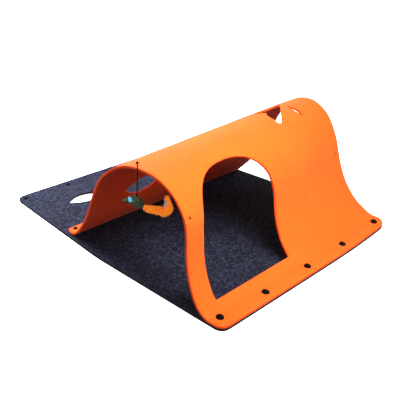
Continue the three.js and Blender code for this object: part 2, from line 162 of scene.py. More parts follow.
class Shader:
    """A material's node tree, with one method that makes any node."""

    def __init__(self, name: str) -> None:
        """Starts a material with an empty node tree.

        Args:
            name: The material's name.
        """
        self.material = bpy.data.materials.new(name)
        self.material.use_nodes = True
        self.tree = self.material.node_tree
        self.tree.nodes.clear()

    def node(
        self,
        kind: str,
        settings: dict[str, Any] | None = None,
        sockets: dict[str | int, Any] | None = None,
        output: int = 0,
    ) -> Wire:
        """Makes a node, sets it up and fills its sockets.

        Args:
            kind: The node's type.
            settings: Its own settings, set before its sockets.
            sockets: A value, or a wire to link, for each named or numbered input.
            output: Which output to give back.

        Returns:
            The output, wrapped for arithmetic.
        """
        made = self.tree.nodes.new(kind)
        for key, value in (settings or {}).items():
            setattr(made, key, value)
        for key, value in (sockets or {}).items():
            if isinstance(value, Wire):
                self.tree.links.new(value.socket, made.inputs[key])
            else:
                made.inputs[key].default_value = value
        return Wire(self, made.outputs[output])

    def places(self) -> Wire:
        """The surface point in the object's own frame, in metres."""
        return self.node("ShaderNodeTexCoord", output=OBJECT_PLACE)

    def turned(self, places: Wire, turn: Sequence[float], scale: Sequence[float]) -> Wire:
        """The points after a turn and a stretch of each axis."""
        sockets = {"Vector": places, "Rotation": turn, "Scale": scale}
        return self.node("ShaderNodeMapping", sockets=sockets)

    def noise(self, places: Wire, grain: Grain) -> Wire:
        """Fractal noise from 0 to 1.

        Args:
            places: The points that it is read at.
            grain: What it is like.

        Returns:
            Its value.
        """
        sockets = {"Vector": places, "Scale": grain.scale, "Detail": grain.detail}
        sockets |= {"Roughness": grain.rough, "Distortion": grain.warp}
        return self.node("ShaderNodeTexNoise", sockets=sockets)

    def step(self, value: Wire, low: float, high: float) -> Wire:
        """A smooth step from 0 to 1 between two levels."""
        sockets = {"Value": value, "From Min": low, "From Max": high}
        return self.node("ShaderNodeMapRange", {"interpolation_type": "SMOOTHSTEP"}, sockets)

    def mix(self, share: Wire | float, first: Wire | Colour, second: Wire | Colour) -> Wire:
        """A mix of two colours."""
        sockets = {MIX_SHARE: share, MIX_FIRST: first, MIX_SECOND: second}
        return self.node("ShaderNodeMix", {"data_type": "RGBA"}, sockets, MIX_RESULT)

    def attribute(self, name: str) -> Wire:
        """A value that the mesh holds for each of its points."""
        return self.node("ShaderNodeAttribute", {"attribute_name": name}, output=FLOAT_VALUE)

    def bump(self, height: Wire, strength: float, depth: float) -> Wire:
        """A normal that stands for small relief of a depth in metres."""
        sockets = {"Height": height, "Strength": strength, "Distance": depth}
        return self.node("ShaderNodeBump", sockets=sockets)

    def finish(self, **sockets: Any) -> bpy.types.Material:
        """Ends the tree in a principled surface.

        Args:
            **sockets: Its inputs, by name with underscores for spaces.

        Returns:
            The material.
        """
        named = {key.replace("_", " "): value for key, value in sockets.items()}
        surface = self.node("ShaderNodeBsdfPrincipled", sockets=named)
        output = self.tree.nodes.new("ShaderNodeOutputMaterial")
        self.tree.links.new(surface.socket, output.inputs["Surface"])
        return self.material


@dataclass(frozen=True)
class FeltFinish:
    """Needled felt: matted fibres, heathered flecks, a soft nap, and cut edges, hole rims and a lower face
    whose colours can be painted shade.
    """

    name: str
    ground: Colour
    shade: Colour
    fleck: Colour
    cut_edge: Colour
    # painted shade for the rims of the holes listed as shaded
    painted_shade_edge: Colour
    # the lower face's colour; on the orange cover it is painted shade
    underside: Colour
    fleck_edge: Pair
    sheen: float
    mottle: float
    mottle_grain: Grain = Grain(170.0, 3.0, 0.7)
    clump_grain: Grain = Grain(330.0, 5.0, 0.7, 0.6)
    cloud_grain: Grain = Grain(9.0, 2.0)
    cloud_edge: Pair = (0.35, 0.68)
    fibre_grain: Grain = Grain(120.0, 4.0)
    fibre_slim: float = 8.0
    fibre_turns: tuple[Triple, ...] = ((0.0, 0.0, 0.35), (0.5, 0.2, 1.4), (-0.4, 0.6, 2.5))
    relief: float = 0.0007
    relief_strength: float = 0.55
    rough_least: float = 0.86
    rough_spread: float = 0.14
    nap_rough: float = 0.45
    under_share: float = 0.8
    gloss: float = 0.12

    def material(self) -> bpy.types.Material:
        """Builds the felt's node tree.

        Returns:
            The material.
        """
        shader = Shader(self.name)
        places = shader.places()
        slim = (1.0, self.fibre_slim, self.fibre_slim)
        laid = [shader.turned(places, turn, slim) for turn in self.fibre_turns]
        layers = [shader.noise(way, self.fibre_grain) for way in laid]
        fibres = sum(layers[1:], layers[0]) * (1 / len(layers))
        clump = shader.noise(places, self.clump_grain)
        cloud = shader.step(shader.noise(places, self.cloud_grain), *self.cloud_edge)
        mottle = (shader.noise(places, self.mottle_grain) - HALF) * self.mottle
        flecks = shader.step((fibres + clump) * HALF + mottle, *self.fleck_edge)
        ground = shader.mix(cloud, self.ground, self.shade)
        face = shader.mix(flecks, ground, self.fleck)
        # The lower face takes the underside colour; on the orange cover that deeper red is painted shade,
        # standing for light bounced about inside the tunnel.
        face = shader.mix(shader.attribute(UNDER_VALUE) * self.under_share, face, self.underside)
        # Cut rims take the cut edge's colour; rims with the shade-painted tone take a painted shade.
        rim = shader.attribute(RIM_VALUE)
        edge = shader.mix(rim - PLAIN_RIM, self.cut_edge, self.painted_shade_edge)
        return shader.finish(
            Base_Color=shader.mix(rim, face, edge),
            Roughness=self.rough_least + self.rough_spread * clump,
            Normal=shader.bump(fibres + clump, self.relief_strength, self.relief),
            Specular_IOR_Level=self.gloss,
            Sheen_Weight=self.sheen,
            Sheen_Roughness=self.nap_rough,
        )


@dataclass(frozen=True)
class PlasticFinish:
    """Moulded plastic with a fine grain and patches of dust."""

    name: str
    ground: Colour
    dust: Colour
    grain: Grain = Grain(2200.0, 3.0)
    dust_grain: Grain = Grain(260.0, 4.0)
    dust_edge: Pair = (0.55, 0.8)
    relief: float = 0.00004
    relief_strength: float = 0.4
    rough_least: float = 0.6
    rough_spread: float = 0.2
    gloss: float = 0.02

    def material(self) -> bpy.types.Material:
        """Builds the plastic's node tree.

        Returns:
            The material.
        """
        shader = Shader(self.name)
        places = shader.places()
        grain = shader.noise(places, self.grain)
        dust = shader.step(shader.noise(places, self.dust_grain), *self.dust_edge)
        return shader.finish(
            Base_Color=shader.mix(dust, self.ground, self.dust),
            Roughness=self.rough_least + self.rough_spread * (grain + dust) * HALF,
            Normal=shader.bump(grain, self.relief_strength, self.relief),
            Specular_IOR_Level=self.gloss,
        )


@dataclass(frozen=True)
class YarnFinish:
    """Twisted yarn with fine fibres along it."""

    name: str
    ground: Colour
    worn: Colour
    fibre_grain: Grain = Grain(3200.0, 3.0, 0.7, 0.8)
    worn_edge: Pair = (0.45, 0.75)
    relief: float = 0.00012
    relief_strength: float = 0.5
    rough: float = 0.85
    gloss: float = 0.05

    def material(self) -> bpy.types.Material:
        """Builds the yarn's node tree.

        Returns:
            The material.
        """
        shader = Shader(self.name)
        fibres = shader.noise(shader.places(), self.fibre_grain)
        worn = shader.step(fibres, *self.worn_edge)
        return shader.finish(
            Base_Color=shader.mix(worn, self.ground, self.worn),
            Roughness=self.rough,
            Normal=shader.bump(fibres, self.relief_strength, self.relief),
            Specular_IOR_Level=self.gloss,
        )


@dataclass(frozen=True)
class BeadFinish:
    """A glossy bead whose colour deepens in its middle and goes dark at its rim."""

    name: str
    ground: Colour
    middle: Colour
    rim: Colour
    middle_edge: Pair = (0.28, 0.46)
    rim_edge: Pair = (0.72, 1.0)
    cloud_grain: Grain = Grain(420.0, 2.0)
    cloud_share: float = 0.25
    rough: float = 0.3
    coat: float = 1.0

    def material(self) -> bpy.types.Material:
        """Builds the bead's node tree.

        Returns:
            The material.
        """
        shader = Shader(self.name)
        spread = shader.attribute(TONE_VALUE)
        cloud = (shader.noise(shader.places(), self.cloud_grain) - HALF) * self.cloud_share
        outwards = shader.step(spread + cloud, *self.middle_edge)
        face = shader.mix(outwards, self.middle, self.ground)
        return shader.finish(
            Base_Color=shader.mix(shader.step(spread, *self.rim_edge), face, self.rim),
            Roughness=self.rough,
            Coat_Weight=self.coat,
        )


@dataclass(frozen=True)
class FluffFinish:
    """Fluffy yarn, with a tone of its own for each strand."""

    name: str
    deep: Colour
    bright: Colour
    clump_grain: Grain = Grain(260.0, 3.0)
    clump_edge: Pair = (0.36, 0.64)
    tone_share: float = 0.45
    rough: float = 0.85
    sheen: float = 0.35
    # painted light: how strongly the fluff glows with its own colour
    painted_glow: float = 0.4

    def material(self) -> bpy.types.Material:
        """Builds the fluff's node tree. It glows with its own colour, painted light that keeps it bright in
        the shade.

        Returns:
            The material.
        """
        shader = Shader(self.name)
        clump = shader.step(shader.noise(shader.places(), self.clump_grain), *self.clump_edge)
        tone = shader.attribute(TONE_VALUE) * self.tone_share + clump * (1 - self.tone_share)
        colour = shader.mix(tone, self.deep, self.bright)
        return shader.finish(
            Base_Color=colour,
            Roughness=self.rough,
            Sheen_Weight=self.sheen,
            Emission_Color=colour,
            Emission_Strength=self.painted_glow,
        )


class Spline:
    """A smooth curve through rows of values. At a row its slope is the mean of those on both sides."""

    def __init__(self, knots: Sequence[float], rows: Sequence[Sequence[float]]) -> None:
        """Keeps the rows and works out their slopes.

        Args:
            knots: Where each row is, rising.
            rows: The values there.
        """
        self.knots = np.array(knots, float)
        self.rows = np.array(rows, float)
        secants = np.diff(self.rows, axis=0) / np.diff(self.knots)[:, None]
        self.slopes = np.vstack([secants[:1], (secants[1:] + secants[:-1]) / 2, secants[-1:]])

    @classmethod
    def through(cls, points: Points) -> Spline:
        """A curve through points, measured along the chords between them."""
        chords = np.linalg.norm(np.diff(points, axis=0), axis=1)
        return cls(np.concatenate([[0.0], np.cumsum(chords)]), points)

    @property
    def length(self) -> float:
        """How far its last row is from its first."""
        return float(self.knots[-1] - self.knots[0])

    def at(self, places: Points) -> Points:
        """The values at some places.

        Args:
            places: Where, on the scale of the knots.

        Returns:
            A row of values for each place.
        """
        index = np.clip(np.searchsorted(self.knots, places, side="right") - 1, 0, len(self.knots) - 2)
        step = (self.knots[index + 1] - self.knots[index])[:, None]
        share = (np.asarray(places) - self.knots[index])[:, None] / step
        back = 1 - share
        return (
            (1 + 2 * share) * back**2 * self.rows[index]
            + share * back**2 * step * self.slopes[index]
            + share**2 * (3 - 2 * share) * self.rows[index + 1]
            - share**2 * back * step * self.slopes[index + 1]
        )


def unit(vectors: Points) -> Points:
    """The vectors, each scaled to a length of one."""
    return vectors / np.linalg.norm(vectors, axis=-1, keepdims=True)


def smooth_step(values: Points, low: float, high: float) -> Points:
    """A smooth step from 0 to 1 between two levels."""
    share = np.clip((values - low) / (high - low), 0, 1)
    return share * share * (3 - 2 * share)


def turns(count: int) -> Points:
    """Even turns, all the way round."""
    return np.linspace(0, FULL_TURN, count, endpoint=False)


def spokes(turn: Points, side: Points, other: Points) -> Points:
    """The directions at some turns from one side towards another."""
    return np.cos(turn)[:, None] * side + np.sin(turn)[:, None] * other


def link(name: str, data: bpy.types.ID) -> bpy.types.Object:
    """Makes an object and puts it into the scene.

    Args:
        name: Its name.
        data: Its mesh, light or camera.

    Returns:
        The new object.
    """
    made = bpy.data.objects.new(name, data)
    bpy.context.scene.collection.objects.link(made)
    return made


@dataclass
class Skin:
    """A mesh in the making: its points, its faces, and named values for each point."""

    points: Points
    faces: list[tuple[int, ...]]
    values: dict[str, Points] = field(default_factory=dict)

    @classmethod
    def over_rings(cls, rings: Points, closed: bool = False) -> Skin:
        """A skin over rings of points that follow one another.

        Args:
            rings: Points by ring and by side, turning right-handed about the way onwards.
            closed: Whether the last ring joins the first. Otherwise both ends are filled.

        Returns:
            The closed skin.
        """
        count, sides = rings.shape[:2]
        points = rings.reshape(-1, 3)
        faces = []
        for ring in range(count if closed else count - 1):
            here, there = ring * sides, (ring + 1) % count * sides
            for side in range(sides):
                after = (side + 1) % sides
                faces.append((here + side, here + after, there + after, there + side))
        if not closed:
            first, last = len(points), len(points) + 1
            end = (count - 1) * sides
            points = np.vstack([points, rings[0].mean(axis=0), rings[-1].mean(axis=0)])
            for side in range(sides):
                after = (side + 1) % sides
                faces.append((first, after, side))
                faces.append((last, end + side, end + after))
        return cls(points, faces)

    def piece(self, name: str, material: bpy.types.Material, slot: Slot, *nodes: str) -> bpy.types.Object:
        """Makes a smooth piece that rides on the part.

        Args:
            name: The piece's name.
            material: What it is dressed in.
            slot: The record's slot for its finish. Not used.
            *nodes: The CAD nodes that it stands for.

        Returns:
            The new object.
        """
        mesh = bpy.data.meshes.new(name)
        mesh.from_pydata(self.points.tolist(), [], self.faces)
        for key, values in self.values.items():
            attribute = mesh.attributes.new(key, "FLOAT", "POINT")
            attribute.data.foreach_set("value", values.astype(np.float32))
        mesh.materials.append(material)
        mesh.shade_smooth()
        made = link(name, mesh)
        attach(made, BODY)
        if nodes:
            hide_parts(*nodes)
        LOG.info("%s: %d points, %d faces", name, len(self.points), len(self.faces))
        return made


@dataclass(frozen=True)
class Pattern:
    """Sizes that the mat, the cover and what is fixed to them share, read from the frame."""

    left: float
    front: float
    width: float
    mat_length: float
    felt: float
    gap: float = 0.0003

    @classmethod
    def from_frame(cls) -> Pattern:
        """Reads the mat's box."""
        low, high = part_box("base_mat")
        return cls(low.x, low.y, high.x - low.x, high.y - low.y, high.z - low.z)

    @property
    def laid(self) -> float:
        """How high the cover's middle surface is where it lies on the mat."""
        return self.felt + self.gap + self.felt / 2


@dataclass(frozen=True)
class CornerCurl:
    """The front right corner, where the sprung cover lifts its hem and the mat off the floor."""

    x: float
    fade_end: float
    fade_start: float = 0.038
    fade_power: float = 1.3
    reach: float = 0.25
    height: float = 0.0138

    def lift(self, flat: Points) -> Points:
        """How high the felt is lifted.

        Args:
            flat: Places on the flat pattern.

        Returns:
            The height at each place.
        """
        across = np.clip(1 - (self.x - flat[:, 0]) / self.reach, 0, None) ** 2
        fade = np.clip((self.fade_end - flat[:, 1]) / (self.fade_end - self.fade_start), 0, 1)
        return self.height * across * fade**self.fade_power


class Surface:
    """The middle surface of a sheet over its flat pattern."""

    slope_step: float = 0.0005

    def __init__(self, pattern: Pattern, curl: CornerCurl) -> None:
        """Keeps the shared sizes and the lifted corner."""
        self.pattern = pattern
        self.curl = curl

    def middle(self, flat: Points) -> Points:
        """The places in the CAD frame of flat places."""
        raise NotImplementedError

    def slack(self, flat: Points) -> Points:
        """How free the felt is to ripple, from 0 to 1."""
        raise NotImplementedError

    def normals(self, flat: Points) -> Points:
        """The directions away from the upper face.

        Args:
            flat: Places on the flat pattern.

        Returns:
            A direction for each place.
        """
        across = np.array([self.slope_step, 0.0])
        onwards = np.array([0.0, self.slope_step])
        side = self.middle(flat + across) - self.middle(flat - across)
        length = self.middle(flat + onwards) - self.middle(flat - onwards)
        return unit(np.cross(side, length))

    def place(self, flat: Points, lift: Points | float) -> Points:
        """The places of flat places, lifted off the middle surface."""
        return self.middle(flat) + self.normals(flat) * np.reshape(lift, (-1, 1))


class MatLie(Surface):
    """The mat, flat on the floor but for its lifted corner."""

    floor_slack: float = 0.3

    def middle(self, flat: Points) -> Points:
        """The places in the CAD frame of flat places."""
        high = self.pattern.felt / 2 + self.curl.lift(flat)
        return np.column_stack([flat[:, 0] + self.pattern.left, flat[:, 1] + self.pattern.front, high])

    def slack(self, flat: Points) -> Points:
        """How free the felt is to ripple."""
        return np.full(len(flat), self.floor_slack)


@dataclass(frozen=True)
class Fold:
    """How far back from the front hem and up from the floor the cover is, at each mouth."""

    along: float
    left_back: float
    left_up: float
    right_back: float
    right_up: float


class CoverBend(Surface):
    """The cover's bend. Lines across the felt bow up a little at the ridge."""

    free_height: float = 0.03
    ridge_bow: float = 0.0026
    bow_power: int = 4
    arch_height: float = 0.256
    folds: tuple[Fold, ...] = (
        Fold(0.050, 0.0494, 0.0120, 0.0495, 0.0155),
        Fold(0.070, 0.0655, 0.0245, 0.0682, 0.0308),
        Fold(0.095, 0.0790, 0.0460, 0.0899, 0.0431),
        Fold(0.125, 0.0900, 0.0740, 0.1120, 0.0628),
        Fold(0.165, 0.0985, 0.1135, 0.1360, 0.0950),
        Fold(0.205, 0.1020, 0.1535, 0.1535, 0.1295),
        Fold(0.235, 0.1080, 0.1830, 0.1635, 0.1570),
        Fold(0.260, 0.1205, 0.2050, 0.1720, 0.1797),
        Fold(0.290, 0.1420, 0.2255, 0.1860, 0.2050),
        Fold(0.330, 0.1790, 0.2415, 0.2110, 0.2365),
        Fold(0.375, 0.2240, 0.2457, 0.2500, 0.2560),
        Fold(0.420, 0.2680, 0.2380, 0.2940, 0.2510),
        Fold(0.465, 0.3085, 0.2175, 0.3295, 0.2255),
        Fold(0.510, 0.3410, 0.1860, 0.3525, 0.1875),
        Fold(0.560, 0.3640, 0.1415, 0.3695, 0.1410),
        Fold(0.610, 0.3850, 0.0955, 0.3880, 0.0950),
        Fold(0.650, 0.4050, 0.0605, 0.4080, 0.0620),
        Fold(0.680, 0.4230, 0.0365, 0.4270, 0.0380),
        Fold(0.705, 0.4415, 0.0165, 0.4450, 0.0175),
        Fold(0.718, 0.4535, 0.0093, 0.4535, 0.0094),
    )
    front_hem: tuple[Pair, ...] = ((0.0, 0.0), (0.018, 0.018), (0.038, 0.038))
    back_hem: tuple[Pair, ...] = ((0.725, 0.4605), (0.743, 0.479))

    def __init__(self, pattern: Pattern, curl: CornerCurl) -> None:
        """Makes the curve from hem to hem, with both hems laid flat.

        Args:
            pattern: The shared sizes.
            curl: The lifted corner.
        """
        super().__init__(pattern, curl)
        laid = pattern.laid
        hems = (self.front_hem, self.back_hem)
        front, rear = ([Fold(along, back, laid, back, laid) for along, back in hem] for hem in hems)
        rows = [*front, *self.folds, *rear]
        values = [(row.left_back, row.left_up, row.right_back, row.right_up) for row in rows]
        self.curve = Spline([row.along for row in rows], values)

    @property
    def length(self) -> float:
        """The cover's flat length from hem to hem."""
        return self.curve.length

    def _raised(self, flat: Points) -> tuple[Points, Points]:
        """How far back and how far up the felt is, before the corner lifts.

        Args:
            flat: Places on the flat pattern.

        Returns:
            Both distances for each place.
        """
        left_back, left_up, right_back, right_up = self.curve.at(flat[:, 1]).T
        share = flat[:, 0] / self.pattern.width
        back = left_back + (right_back - left_back) * share
        straight = left_up + (right_up - left_up) * share
        rise = (straight - self.pattern.laid) / (self.arch_height - self.pattern.laid)
        bow = self.ridge_bow * (1 - (2 * share - 1) ** self.bow_power) * rise**2
        return back, np.maximum(straight + bow, self.pattern.laid)

    def middle(self, flat: Points) -> Points:
        """The places in the CAD frame of flat places.

        Args:
            flat: Places on the flat pattern.

        Returns:
            A point for each place.
        """
        back, high = self._raised(flat)
        across = flat[:, 0] + self.pattern.left
        return np.column_stack([across, back + self.pattern.front, high + self.curl.lift(flat)])

    def slack(self, flat: Points) -> Points:
        """How free the felt is to ripple: not at all where it lies on the mat."""
        return smooth_step(self._raised(flat)[1] - self.pattern.laid, 0.0, self.free_height)


def corner_curve(before: Points, corner: Points, after: Points, radius: float, steps: int = 8) -> Points:
    """A curve that rounds a corner of a flat outline.

    Args:
        before: The point before the corner.
        corner: The corner itself.
        after: The point after it.
        radius: How far from the corner the curve starts and ends.
        steps: How many pieces it has.

    Returns:
        Its points.
    """
    start = corner + unit(before - corner) * radius
    end = corner + unit(after - corner) * radius
    share = np.linspace(0, 1, steps + 1)[:, None]
    return (1 - share) ** 2 * start + 2 * share * (1 - share) * corner + share**2 * end


def rounded_loop(corners: Points, radii: Sequence[float]) -> Points:
    """A closed outline with each of its corners rounded."""
    before, after = np.roll(corners, 1, axis=0), np.roll(corners, -1, axis=0)
    return np.vstack([corner_curve(b, c, a, r) for b, c, a, r in zip(before, corners, after, radii)])


def leaf_loop(x: float, along: float, half_length: float, half_width: float, steps: int = 24) -> Points:
    """A leaf with its two points across the felt.

    Args:
        x: Where its middle is across the felt.
        along: Where its middle is along the felt.
        half_length: How far its points are from the middle.
        half_width: How far its sides bow out.
        steps: How many pieces each side has.

    Returns:
        Its outline.
    """
    share = np.linspace(-1, 1, steps + 1)
    bow = half_width * (1 - share**2)
    near = np.column_stack([x + half_length * share, along - bow])
    far = np.column_stack([x + half_length * share, along + bow])[::-1]
    return np.vstack([near[:-1], far[:-1]])


def round_loop(x: float, along: float, radius: float, sides: int = 24) -> Points:
    """A round hole."""
    turn = turns(sides)
    return np.column_stack([x + radius * np.cos(turn), along + radius * np.sin(turn)])


@dataclass(frozen=True)
class CutRow:
    """One row across a cut-out: its place along the felt, and where it starts and ends."""

    along: float
    start: float
    end: float


def row_loop(rows: Sequence[CutRow]) -> Points:
    """The outline of a cut-out that is given by rows across the felt.

    Args:
        rows: The rows, from its front to its back.

    Returns:
        The outline.
    """
    left = [(row.start, row.along) for row in rows]
    right = [(row.end, row.along) for row in reversed(rows)]
    return np.array(left + right)


@dataclass(frozen=True)
class Door:
    """The arched door: a straight sill and sides under a full arch."""

    left: float = 0.049
    right: float = 0.298
    sill_left: float = 0.0475
    sill_right: float = 0.282
    sill: float = 0.063
    spring: float = 0.195
    crown: float = 0.316
    fullness: float = 2.3
    corner_radius: float = 0.002
    arch_steps: int = 48

    def loop(self) -> Points:
        """The door's outline on the flat felt.

        Returns:
            Its points, from the left foot over the arch to the right one and along the sill.
        """
        centre, half = (self.left + self.right) / 2, (self.right - self.left) / 2
        turn = np.linspace(0, math.pi, self.arch_steps + 1)
        power = 2 / self.fullness
        across = np.sign(np.cos(turn)) * np.abs(np.cos(turn)) ** power
        arch = np.column_stack([
            centre - half * across,
            self.spring + (self.crown - self.spring) * np.sin(turn) ** power,
        ])
        left_foot = np.array([self.sill_left, self.sill])
        right_foot = np.array([self.sill_right, self.sill])
        right_corner = corner_curve(arch[-1], right_foot, left_foot, self.corner_radius)
        left_corner = corner_curve(right_foot, left_foot, arch[0], self.corner_radius)
        return np.vstack([arch, right_corner, left_corner])


def within(points: Points, loops: Sequence[Points]) -> Points:
    """Which points are inside an odd number of loops.

    Args:
        points: The flat places.
        loops: The loops.

    Returns:
        True or false for each point.
    """
    odd = np.zeros(len(points), bool)
    x, y = points.T
    for loop in loops:
        for (x0, y0), (x1, y1) in zip(loop, np.roll(loop, -1, axis=0)):
            if y0 != y1:
                reach = (x1 - x0) * (y - y0) / (y1 - y0) + x0
                odd ^= ((y0 > y) != (y1 > y)) & (x < reach)
    return odd


@dataclass
class FeltSheet:
    """A sheet of felt with cut edges, bent onto its surface."""

    name: str
    node: str
    slot: Slot
    surface: Surface
    outline: Points
    holes: list[Points]
    shade_painted_holes: list[Points]
    pressed: list[Triple]
    finish: FeltFinish
    grid: float = 0.005
    edge_step: float = 0.003
    least_side: float = 1e-6
    edge_room: float = 0.6
    rim_radius: float = 0.0005
    weld: float = 1e-7
    rim_bulge: float = 0.00018
    rim_steps: int = 3
    rim_fray: float = 0.00010
    face_rim_tone: float = 0.1
    ripple: float = 0.00035
    ripple_waves: tuple[Triple, ...] = ((41.0, 23.0, 0.4), (-19.0, 57.0, 1.9), (73.0, -64.0, 3.1))
    press_depth: float = 0.0008
    press_reach: float = 0.007
    seed: int = 5

    def __post_init__(self) -> None:
        """Turns the outline anticlockwise and the holes clockwise, and splits their long sides."""
        self.thickness = self.surface.pattern.felt
        self.loops = [self._split(self._turned(self.outline, 1))]
        self.loops += [self._split(self._turned(hole, -1)) for hole in self.holes + self.shade_painted_holes]

    @staticmethod
    def _signed_area(loop: Points) -> float:
        """A loop's area, above 0 if it turns anticlockwise."""
        x, y = loop.T
        return float(np.sum(x * np.roll(y, -1) - np.roll(x, -1) * y) / 2)

    def _turned(self, loop: Points, sign: int) -> Points:
        """The loop, turning the way that the sign says."""
        return loop if self._signed_area(loop) * sign > 0 else loop[::-1]

    def _split(self, loop: Points) -> Points:
        """The loop with its long sides split, and points that lie on each other left out.

        Args:
            loop: The loop.

        Returns:
            Its new points.
        """
        made = []
        for start, end in zip(loop, np.roll(loop, -1, axis=0)):
            length = np.linalg.norm(end - start)
            if length > self.least_side:
                pieces = max(1, math.ceil(length / self.edge_step))
                made += [start + (end - start) * step / pieces for step in range(pieces)]
        return np.array(made)

    @property
    def area(self) -> float:
        """The flat area of the cut felt."""
        return sum(self._signed_area(loop) for loop in self.loops)

    @staticmethod
    def _outward(loop: Points) -> Points:
        """The flat directions out of the felt along a loop.

        Args:
            loop: The loop.

        Returns:
            A direction for each of its points.
        """
        ahead = unit(np.roll(loop, -1, axis=0) - loop)
        behind = unit(loop - np.roll(loop, 1, axis=0))
        heading = unit(ahead + behind)
        return np.column_stack([heading[:, 1], -heading[:, 0]])

    def _filling(self, insets: list[Points]) -> Points:
        """Flat places all over the felt, in rows, clear of its edges.

        Args:
            insets: The loops that bound the face.

        Returns:
            The places.
        """
        low, high = insets[0].min(axis=0), insets[0].max(axis=0)
        rows = np.arange(low[1], high[1], self.grid * math.sqrt(3) / 2)
        columns = np.arange(low[0], high[0], self.grid)
        x, y = np.meshgrid(columns, rows)
        x[1::2] += self.grid / 2
        places = np.column_stack([x.ravel(), y.ravel()])
        places = places[within(places, insets)]
        edge = np.vstack(insets)
        tree = KDTree(len(edge))
        for index, (ex, ey) in enumerate(edge):
            tree.insert((ex, ey, 0.0), index)
        tree.balance()
        away = np.array([tree.find((px, py, 0.0))[FOUND_AWAY] for px, py in places])
        return places[away > self.grid * self.edge_room]

    def _face(self, insets: list[Points]) -> tuple[Points, list[tuple[int, int, int]]]:
        """The triangles of a flat face.

        Args:
            insets: The loops that bound it.

        Returns:
            Its points, with the loops' own points first, and its triangles.
        """
        places = np.vstack([*insets, self._filling(insets)])
        edges, start = [], 0
        for loop in insets:
            edges += [(start + i, start + (i + 1) % len(loop)) for i in range(len(loop))]
            start += len(loop)
        found = delaunay_2d_cdt([Vector(p) for p in places], edges, [], INSIDE_EDGES, self.weld)
        _, _, corners, origins, _, _ = found
        source = [origin[0] for origin in origins]
        triangles = np.array([[source[i] for i in face] for face in corners])
        cut_out = within(places[triangles].mean(axis=1), insets[1:])
        return places, [tuple(face) for face in triangles[~cut_out]]

    def _rim_profile(self) -> Points:
        """The cut rim's section, from top to bottom.

        Returns:
            How far out from the face's edge, and how far up from the middle, each of its points is.
        """
        turn = np.linspace(0, math.pi / 2, self.rim_steps + 1)[1:]
        out = self.rim_radius * np.sin(turn)
        up = self.thickness / 2 - self.rim_radius * (1 - np.cos(turn))
        top = np.column_stack([out, up])
        middle = [[self.rim_radius + self.rim_bulge, 0.0]]
        return np.vstack([top, middle, top[::-1] * [1, -1]])

    def _pressed(self, flat: Points) -> Points:
        """How deep the studs press the upper face in.

        Args:
            flat: Places on the flat pattern.

        Returns:
            The depth at each place.
        """
        depth = np.zeros(len(flat))
        for x, along, radius in self.pressed:
            away = np.hypot(flat[:, 0] - x, flat[:, 1] - along)
            depth = np.maximum(depth, 1 - smooth_step(away, radius, radius + self.press_reach))
        return depth * self.press_depth

    def _rippled(self, flat: Points) -> Points:
        """The felt's small unevenness."""
        waves = sum(np.sin(flat @ np.array([a, b]) + c) for a, b, c in self.ripple_waves)
        return waves * self.ripple / len(self.ripple_waves) * self.surface.slack(flat)

    def skin(self) -> Skin:
        """The closed skin of the bent sheet.

        Returns:
            Both faces and the rims between them, with the rims and the underside marked.
        """
        chance = np.random.default_rng(self.seed)
        outwards = [self._outward(loop) for loop in self.loops]
        insets = [loop - out * self.rim_radius for loop, out in zip(self.loops, outwards)]
        places, triangles = self._face(insets)
        count = len(places)
        ripple = self._rippled(places)
        half = self.thickness / 2
        upper = self.surface.place(places, half + ripple - self._pressed(places))
        lower = self.surface.place(places, -half + ripple)
        points = [upper, lower]
        edge_count = sum(len(loop) for loop in insets)
        face_tone = np.zeros(count)
        face_tone[:edge_count] = self.face_rim_tone
        tones = [face_tone, face_tone]
        faces = triangles + [(c + count, b + count, a + count) for a, b, c in triangles]
        profile = self._rim_profile()
        total, first = 2 * count, 0
        # Holes after the plain loops get rims of painted shade.
        plain = len(insets) - len(self.shade_painted_holes)
        for index, (loop, out) in enumerate(zip(insets, outwards)):
            size = len(loop)
            rings = [np.arange(first, first + size)]
            for reach, lift in profile:
                fray = chance.normal(0, self.rim_fray, (size, 1))
                flat = loop + out * (reach + fray)
                points.append(self.surface.place(flat, lift + self._rippled(flat)))
                tones.append(np.full(size, PLAIN_RIM if index < plain else SHADE_PAINTED_RIM))
                rings.append(np.arange(total, total + size))
                total += size
            rings.append(np.arange(first + count, first + count + size))
            for above, below in zip(rings, rings[1:]):
                quads = np.column_stack([below, np.roll(below, -1), np.roll(above, -1), above])
                faces += [tuple(quad) for quad in quads]
            first += size
        under = np.zeros(total)
        under[count:2 * count] = 1
        return Skin(np.vstack(points), faces, {RIM_VALUE: np.concatenate(tones), UNDER_VALUE: under})

    def build(self) -> bpy.types.Object:
        """Makes the sheet in place of its CAD node."""
        return self.skin().piece(self.name, self.finish.material(), self.slot, self.node)


@dataclass(frozen=True)
class StudCap:
    """A turned cap: the radius and height of its rings from the foot up, and its lean to the front."""

    rings: tuple[Pair, ...]
    lean: float = 0.0

    @property
    def radius(self) -> float:
        """How far it reaches."""
        return max(radius for radius, _ in self.rings)


DOMED_CAP = StudCap(
    rings=(
        (0.0070, -0.0022),
        (0.0077, -0.0018),
        (0.0078, -0.0004),
        (0.0078, 0.0010),
        (0.0075, 0.0016),
        (0.0070, 0.0020),
        (0.0065, 0.0021),
        (0.0062, 0.0020),
        (0.0058, 0.0021),
        (0.0050, 0.0026),
        (0.0040, 0.0030),
        (0.0028, 0.0032),
        (0.0016, 0.0032),
        (0.0002, 0.0031),
    ),
    lean=math.radians(14),
)
FLAT_CAP = StudCap(
    rings=(
        (0.0042, -0.0008),
        (0.0047, -0.0006),
        (0.0048, 0.0003),
        (0.0047, 0.0009),
        (0.0042, 0.0013),
        (0.0034, 0.0014),
        (0.0022, 0.0013),
        (0.0008, 0.0012),
        (0.0002, 0.0012),
    ),
)


